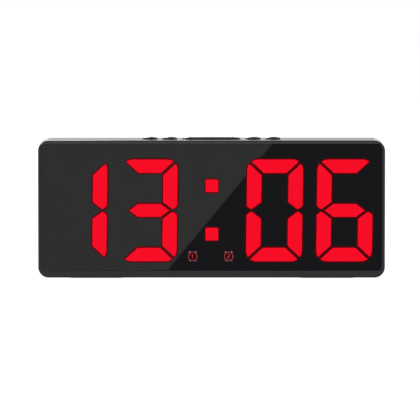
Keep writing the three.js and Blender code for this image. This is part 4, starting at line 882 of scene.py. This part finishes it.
def colonAndSigns():
    s = signs
    low, high = boxMm("colon_and_signs")
    half, halfWidth, halfHeight = s["dot"] / 2, s["signWidth"] / 2, s["signHeight"] / 2
    corner, steps, edge = s["dotCorner"], s["cornerSteps"], s["edge"]
    signX = (low.x + halfWidth, high.x - halfWidth)
    signZ = low.z + halfHeight
    dotX = sum(signX) / 2 - s["signShift"]
    upperZ = high.z - half
    cuts = ((edge, low.y), (0, low.y + edge), (0, high.y))
    bm = bmesh.new()
    for z in (upperZ, upperZ - s["dotSpacing"]):
        ends = dotX - half, dotX + half, z - half, z + half
        loft(bm, [rectRing(*ends, corner, y, steps, inset) for inset, y in cuts])
    plateY = low.y + s["relief"]
    for x in signX:
        ends = x - halfWidth, x + halfWidth, signZ - halfHeight, signZ + halfHeight
        loft(bm, [rectRing(*ends, corner, y, steps) for y in (plateY, high.y)])
    web = s["webWidth"] / 2
    webY = high.y - s["webThickness"]
    block(bm, dotX - web, dotX + web, webY, high.y, signZ - web, upperZ + web)
    block(bm, *signX, webY, high.y, signZ - web, signZ + web)
    piece = makeObject(bm, "colon_and_sign_plates")
    dressPiece(piece, "colon_and_signs", s["sharp"])
    piece.data.materials.append(materials["epoxyCastUnlit"])
    for polygon in piece.data.polygons:  # the plates are printed over, the dots glow
        polygon.material_index = 1 if polygon.center.y / mm > low.y + s["printDepth"] else 0

    seatY = plateY - s["seat"]
    bm = bmesh.new()
    for number, x in enumerate(signX, 1):
        alarmSign(bm, x, signZ, number, low.y, seatY)
    figures = makeObject(bm, "alarm_sign_figures")
    bm = bmesh.new()
    for x in signX:  # light that leaks through the print inside each ring
        drum(bm, (x, signZ), s["ring"], low.y + s["leakDepth"], seatY, s["steps"])
    leaks = makeObject(bm, "alarm_sign_grounds")
    for made, finish in ((figures, "epoxyCastDimlyLit"), (leaks, "epoxyCastFaintlyLit")):
        made.data.materials.append(materials[finish])
        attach(made, "case")


colonAndSigns()
print("colon and signs built")

screwHead = {
    "shank": 1.1, "tip": 0.44, "tipLength": 1.65, "head": 2.1, "height": 1.6, "rim": 0.72, "sides": 40,
    "shoulder": 0.75, "shoulderSteps": 6, "slot": 0.55, "slotDepth": 0.75, "slotReach": 1.35,
    "edge": 0.05, "sharp": 40,
}


def caseScrew(name):
    s = screwHead
    low, high = boxMm(name)
    x, z = middle(name)
    seat = high.y - s["height"]
    rim = seat + s["rim"]
    profile = [(s["tip"], low.y), (s["shank"], low.y + s["tipLength"]), (s["shank"], seat)]
    profile += [(s["head"], seat), (s["head"], rim)]
    for i in range(1, s["shoulderSteps"] + 1):  # pan head, rounded at the shoulder
        angle = pi / 2 * i / s["shoulderSteps"]
        radius = s["head"] - s["shoulder"] * (1 - cos(angle))
        profile.append((radius, rim + (high.y - rim) * sin(angle)))
    rings = [roundRing((x, z), radius, "y", y, s["sides"]) for radius, y in profile]
    piece = loftPiece(rings, name + "_turned")
    half, reach = s["slot"] / 2, s["slotReach"]
    bm = bmesh.new()
    for a, b in ((reach, half), (half, reach)):
        block(bm, x - a, x + a, high.y - s["slotDepth"], high.y + cutPast, z - b, z + b)
    combine(piece, bm, "DIFFERENCE")
    dressPiece(piece, name, s["sharp"], s["edge"])


inlet = {
    "corner": 0.4, "nose": 3.2, "bore": 1.8, "boreDepth": 8.5, "chamfer": 0.3, "sides": 48, "sharp": 30,
    "pin": 0.65, "pinInset": 1.0, "pinTip": 0.39, "pinTipLength": 0.3,
}


def powerInlet():
    s = inlet
    low, high = boxMm("power_socket")
    bodyBack = seamY - shell["gap"]
    boreY = high.y - s["boreDepth"]
    tipY = high.y - s["pinInset"]
    perCorner = s["sides"] // 4
    turn = perCorner // 2
    rings = []
    for y in (low.y, bodyBack):
        square = rectRing(low.x, high.x, low.z, high.z, s["corner"], y, perCorner - 1)
        rings.append(square[-turn:] + square[:-turn])  # starts level with the round rings
    profile = [
        (s["nose"], bodyBack), (s["nose"], high.y - s["chamfer"]), (s["nose"] - s["chamfer"], high.y),
        (s["bore"] + s["chamfer"], high.y), (s["bore"], high.y - s["chamfer"]), (s["bore"], boreY),
        (s["pin"], boreY), (s["pin"], tipY - s["pinTipLength"]), (s["pinTip"], tipY),
    ]
    rings += [roundRing(middle("power_socket"), radius, "y", y, s["sides"]) for radius, y in profile]
    dressPiece(loftPiece(rings, "power_inlet"), "power_socket", s["sharp"])


cellShape = {  # each end in steps: in from the wall, and along
    "flatEnd": ((1.4, 0.0), (1.2, 0.1), (0.7, 0.1), (0.4, 0.0), (0.1, 0.12), (0.0, 0.4)),
    "nubEnd": ((0.0, 0.4), (0.1, 0.12), (0.4, 0.0), (0.8, 0.0), (1.0, 0.25)),
    "nub": 1.9, "nubHeight": 1.0, "nubRoot": 0.5, "nubEdge": 0.25, "crimp": 0.25, "sides": 56, "sharp": 35,
    "bareFace": 0.48, "bareWall": 0.9, "facing": 0.6,
}


# Where a cell or its spring starts along x, and which way it points; the spring bears on the flat end
def rowStart(level, kind):
    low, high = boxMm(level + kind)
    toRight = boxMm(level + "_spring")[0].x < boxMm(level + "_cell")[0].x
    return (low.x, 1) if toRight else (high.x, -1)


def batteryCell(level):
    s = cellShape
    name = level + "_cell"
    low, high = boxMm(name)
    centre = middle(name, "yz")
    radius = (high.z - low.z) / 2
    flatX, sign = rowStart(level, "_cell")
    length = high.x - low.x
    shoulder = length - s["nubHeight"]
    profile = [(radius - inward, along) for inward, along in s["flatEnd"]]
    profile += [(radius - inward, shoulder - along) for inward, along in s["nubEnd"]]
    profile += [(s["nub"] + s["nubRoot"], shoulder - s["crimp"]), (s["nub"], shoulder)]
    profile += [(s["nub"], length - s["nubEdge"]), (s["nub"] - s["nubEdge"], length)]
    rings = [roundRing(centre, r, "x", flatX + sign * along, s["sides"]) for r, along in profile]
    piece = loftPiece(rings, level + "_battery")
    dressPiece(piece, name, s["sharp"])
    piece.data.materials.append(materials["springSteelNickelPlated"])
    for polygon in piece.data.polygons:  # bare steel inside the crimped ends
        away = math.hypot(polygon.center.y / mm - centre[0], polygon.center.z / mm - centre[1])
        inward = s["bareFace"] if abs(polygon.normal.x) > s["facing"] else s["bareWall"]
        polygon.material_index = 1 if away < radius - inward else 0


coil = {
    "wire": 0.6, "base": 3.9, "tip": 1.2, "pitch": 0.85, "turns": 3, "bend": 0.54, "perTurn": 36,
    "rounding": 3,
}


# Conical spring: straight out of its plate, round and in, and straight again onto the cell
def batterySpring(level):
    s = coil
    low, high = boxMm(level + "_spring")
    startX, sign = rowStart(level, "_spring")
    centreY, centreZ = middle(level + "_cell", "yz")
    length = high.x - low.x

    def at(along, radius, angle):
        y = centreY + sign * radius * cos(angle)
        return Vector((startX + sign * along, y, centreZ + radius * sin(angle)))

    points = [at(0, s["base"], 0), at(s["wire"], s["base"], 0)]
    steps = s["turns"] * s["perTurn"]
    lead = s["bend"] / s["base"]
    for i in range(steps + 1):
        turn = i / s["perTurn"]
        radius = s["base"] + (s["tip"] - s["base"]) * i / steps
        points.append(at(s["wire"] + s["bend"] + s["pitch"] * turn, radius, lead + 2 * pi * turn))
    last = lead + s["bend"] / s["tip"]
    points += [at(length - s["wire"], s["tip"], last), at(length, s["tip"], last)]
    data = bpy.data.curves.new(level + "_coil", "CURVE")
    data.dimensions = "3D"
    data.bevel_depth = s["wire"] / 2 * mm
    data.bevel_resolution = s["rounding"]
    data.use_fill_caps = True
    line = data.splines.new("POLY")
    line.points.add(len(points) - 1)
    for spot, point in zip(line.points, points):
        spot.co = (*(point * mm), 1)
    line.use_smooth = True
    piece = addObject(level + "_coil", data)
    data.materials.append(materials["springSteelNickelPlated"])
    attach(piece, "case")
    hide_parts(level + "_spring")


for name in caseScrews:
    caseScrew(name)
powerInlet()
for level in ("bottom", "middle", "top"):
    batteryCell(level)
    batterySpring(level)
print("screws, inlet, cells and springs built")

# light: a wide soft box overhead, one to the left in front, a low fill to the right, a strip behind
lamps = {
    "overhead": {"place": (0, -100, 1300), "size": (1500, 900), "power": 9.0, "glint": 1.0},
    "left": {"place": (-420, -950, 700), "size": (320, 900), "power": 9.0, "glint": 1.0},
    "right": {"place": (1000, -900, 500), "size": (700, 700), "power": 5.0, "glint": 1.0},
    "rear": {"place": (-200, 1400, 900), "size": (260, 800), "power": 9.0, "glint": 0.0},
}
lampAim = (0, 0, 30)
surround = {"diffuse": 0.45, "shown": 1.0, "white": "#ffffff"}
floorLook = {"size": 30000.0, "white": "#e6e6e6", "glow": 0.93, "keep": 0.16}


def addLamps():
    for name, s in lamps.items():
        data = bpy.data.lights.new(name, "AREA")
        data.shape = "RECTANGLE"
        data.size, data.size_y = s["size"][0] * mm, s["size"][1] * mm
        data.energy = s["power"]
        data.specular_factor = s["glint"]
        place, aim = Vector(s["place"]) * mm, Vector(lampAim) * mm
        pointObject(addObject(name, data), place, aim - place)


# One where the ray comes from the camera or a mirror or clear surface, else nought
def seenRay(tree):
    path = addNode(tree, "ShaderNodeLightPath")
    seen = path.outputs["Is Camera Ray"]
    for kind in ("Is Glossy Ray", "Is Transmission Ray"):
        links = {0: seen, 1: path.outputs[kind]}
        either = addNode(tree, "ShaderNodeMath", {"operation": "ADD", "use_clamp": True}, links)
        seen = either.outputs["Value"]
    return seen


def addWorld():
    world = bpy.data.worlds.new("surround")
    scene.world = world
    world.use_nodes = True
    tree = world.node_tree
    tree.nodes.clear()
    white = linear(surround["white"])
    links = {}
    for place, key in enumerate(("diffuse", "shown"), 1):
        made = addNode(tree, "ShaderNodeBackground", {"Color": white, "Strength": surround[key]})
        links[place] = made.outputs["Background"]
    mix = addNode(tree, "ShaderNodeMixShader", None, {0: seenRay(tree), **links})
    addNode(tree, "ShaderNodeOutputWorld", None, {"Surface": mix.outputs["Shader"]})


def levelCorners(x0, x1, y0, y1, z):
    return [(x0, y0, z), (x1, y0, z), (x1, y1, z), (x0, y1, z)]


def flatPiece(name, corners, faces=((0, 1, 2, 3),)):
    mesh = bpy.data.meshes.new(name)
    mesh.from_pydata([(x * mm, y * mm, z * mm) for x, y, z in corners], [], faces)
    return addObject(name, mesh)


def addFloor():
    half = floorLook["size"] / 2
    made = flatPiece("floor", levelCorners(-half, half, -half, half, 0))
    material, tree = emptyMaterial("paperSweepWhite")
    paper = addNode(tree, "ShaderNodeBsdfDiffuse", {"Color": linear(floorLook["white"])}).outputs["BSDF"]
    faint = addNode(tree, "ShaderNodeBsdfDiffuse", {"Color": (*[floorLook["keep"]] * 3, 1.0)}).outputs["BSDF"]
    glow = addNode(tree, "ShaderNodeEmission", {"Strength": floorLook["glow"]}).outputs["Emission"]
    shown = addNode(tree, "ShaderNodeAddShader", None, {0: glow, 1: faint}).outputs["Shader"]
    mix = addNode(tree, "ShaderNodeMixShader", None, {0: seenRay(tree), 1: paper, 2: shown})
    addNode(tree, "ShaderNodeOutputMaterial", None, {"Surface": mix.outputs["Shader"]})
    made.data.materials.append(material)


# Boards that show only in the clock's gloss, as a photographer sets them. Those in front stand as far ahead
# of the pane as the display lies behind it, so their mirror image falls on the display. Light and dark meet
# on a slant, the edge of the glare, and two more serve the frame at the right and below. Black shapes keep
# the glare off what is lit, and a narrow red margin round these is painted glow that stands for the bars'
# bloom in the pane.
glare = {
    "foot": (171.3, 266.0), "slope": 0.826,  # the glare's edge on the picture, in pixels
    "light": "#cccccc", "dark": "#75777d", "frame": "#d2d2d6", "lower": "#cfced4", "overhang": 2.0,
    "mask": "#000000", "bloom": "#d02028", "bloomPower": 2.6, "bloomReach": 0.62, "bloomSteps": 8,
    "lift": 0.02, "planeDepth": 0.1,
}
flags = {
    "overhead": {"level": "#929292", "half": 350.0, "front": -800.0, "back": 450.0, "above": 300.0},
    "back": {"level": "#cfcfd1", "half": 170.0, "away": 2200.0},
    "side": {"level": "#5c5c5c", "away": 60.0, "front": -20.0, "back": 420.0, "high": 70.0},
    # dark cards on the floor that show only in the gloss: painted shadow where the clock stands on the floor
    "floor": {"level": "#3a3a3a", "lift": 0.05, "under": 9.0},
}


def addBoard(made, level, power=1.0):
    material, tree = emptyMaterial(made.name + "Grey")
    glow = addNode(tree, "ShaderNodeEmission", {"Color": linear(level), "Strength": power})
    addNode(tree, "ShaderNodeOutputMaterial", None, {"Surface": glow.outputs["Emission"]})
    made.data.materials.append(material)
    made.visible_camera = False
    made.visible_diffuse = False
    made.visible_shadow = False


# Outlines of the lit faces of a piece, at its front
def litOutlines(made):
    spots = [made.matrix_world @ vertex.co / mm for vertex in made.data.vertices]
    plane = min(spot.y for spot in spots) + glare["planeDepth"]
    outlines = []
    for face in made.data.polygons:
        corners = [spots[i] for i in face.vertices]
        if face.material_index == 0 and max(corner.y for corner in corners) < plane:
            outlines.append(corners)
    return outlines


# One board of flat shapes, repeated at each shift
def addShapes(name, outlines, y, level, shifts=((0, 0),), power=1.0):
    corners, faces = [], []
    for dx, dz in shifts:
        for outline in outlines:
            faces.append(range(len(corners), len(corners) + len(outline)))
            corners += [(spot.x + dx, y, spot.z + dz) for spot in outline]
    addBoard(flatPiece(name, corners, faces), level, power)


def addGlare():
    s = glare
    low, high = boxMm("display_window")
    litNodes = [name for name in nodes if name.endswith("_lit_bars")]
    ahead = (high.y - low.y) / smokedSheet["ior"] + boxMm(litNodes[0])[0].y - high.y
    boardY = low.y - ahead
    share = ahead / (low.y - cameraPlace.y)

    def mirrored(x, z):
        return x + (x - cameraPlace.x) * share, z + (z - cameraPlace.z) * share

    faceX, faceY = cameraView["faceMiddle"]
    scale = cameraView["pixelsPerMm"]
    footX = (s["foot"][0] - faceX) / scale
    footZ = middle("front_case")[1] - (s["foot"][1] - faceY) / scale
    out = shell["windowPlay"]
    bottom, top = low.z - out, high.z + out
    z0 = mirrored(0, bottom)[1]
    x1, z1 = mirrored(high.x + out, top)
    cut0, cut1 = [mirrored(footX + (z - footZ) * s["slope"], z)[0] for z in (bottom, top)]
    left, under = mirrored(caseLow.x - s["overhang"], caseLow.z)
    right = mirrored(caseHigh.x + s["overhang"], 0)[0]
    sides = {
        "light": ((left, z0), (cut0, z0), (cut1, z1), (left, z1)),
        "dark": ((cut0, z0), (x1, z0), (x1, z1), (cut1, z1)),
        "frame": ((x1, z0), (right, z0), (right, z1), (x1, z1)),
        "lower": ((left, under), (right, under), (right, z0), (left, z0)),
    }
    for name, corners in sides.items():
        addBoard(flatPiece(name + "_board", [(x, boardY, z) for x, z in corners]), s[name])
    bloomY, maskY = boardY + s["lift"], boardY + 2 * s["lift"]
    around = circle(s["bloomReach"], s["bloomSteps"])
    for made in [nodes[name] for name in litNodes] + [bpy.data.objects["colon_and_sign_plates"]]:
        outlines = litOutlines(made)
        addShapes(made.name + "_mask", outlines, maskY, s["mask"])
        # red margin round each lit shape, seen only in the pane: painted glow
        addShapes(made.name + "_bloom", outlines, bloomY, s["bloom"], around, s["bloomPower"])
    addShapes("sign_mask", litOutlines(bpy.data.objects["alarm_sign_grounds"]), maskY, s["mask"])


def addFlags():
    over, back, side, floor = [flags[key] for key in ("overhead", "back", "side", "floor")]
    half, top = over["half"], caseHigh.z + over["above"]
    level = levelCorners(-half, half, over["front"], over["back"], top)
    addBoard(flatPiece("overhead_flag", level), over["level"])
    half, y = back["half"], back["away"]
    wall = [(-half, y, 0), (half, y, 0), (half, y, top), (-half, y, top)]
    addBoard(flatPiece("back_flag", wall), back["level"])
    y0, y1, high, z = side["front"], side["back"], side["high"], floor["lift"]
    for name, x, out in (("left", caseLow.x, -side["away"]), ("right", caseHigh.x, side["away"])):
        far = x + out
        wall = [(far, y0, 0), (far, y1, 0), (far, y1, high), (far, y0, high)]
        addBoard(flatPiece(name + "_flag", wall), side["level"])
        # dark card on the floor beside the clock, seen only in the gloss: painted shadow
        addBoard(flatPiece(name + "_floor_shadow_card", levelCorners(x, far, y0, y1, z)), floor["level"])
    # the same under the front edge: painted shadow where the clock meets the floor
    under = levelCorners(caseLow.x, caseHigh.x, y0, frontY + floor["under"], z)
    addBoard(flatPiece("front_floor_shadow_card", under), floor["level"])


addLamps()
addWorld()
addFloor()
addGlare()
addFlags()
print("light, floor and boards set")
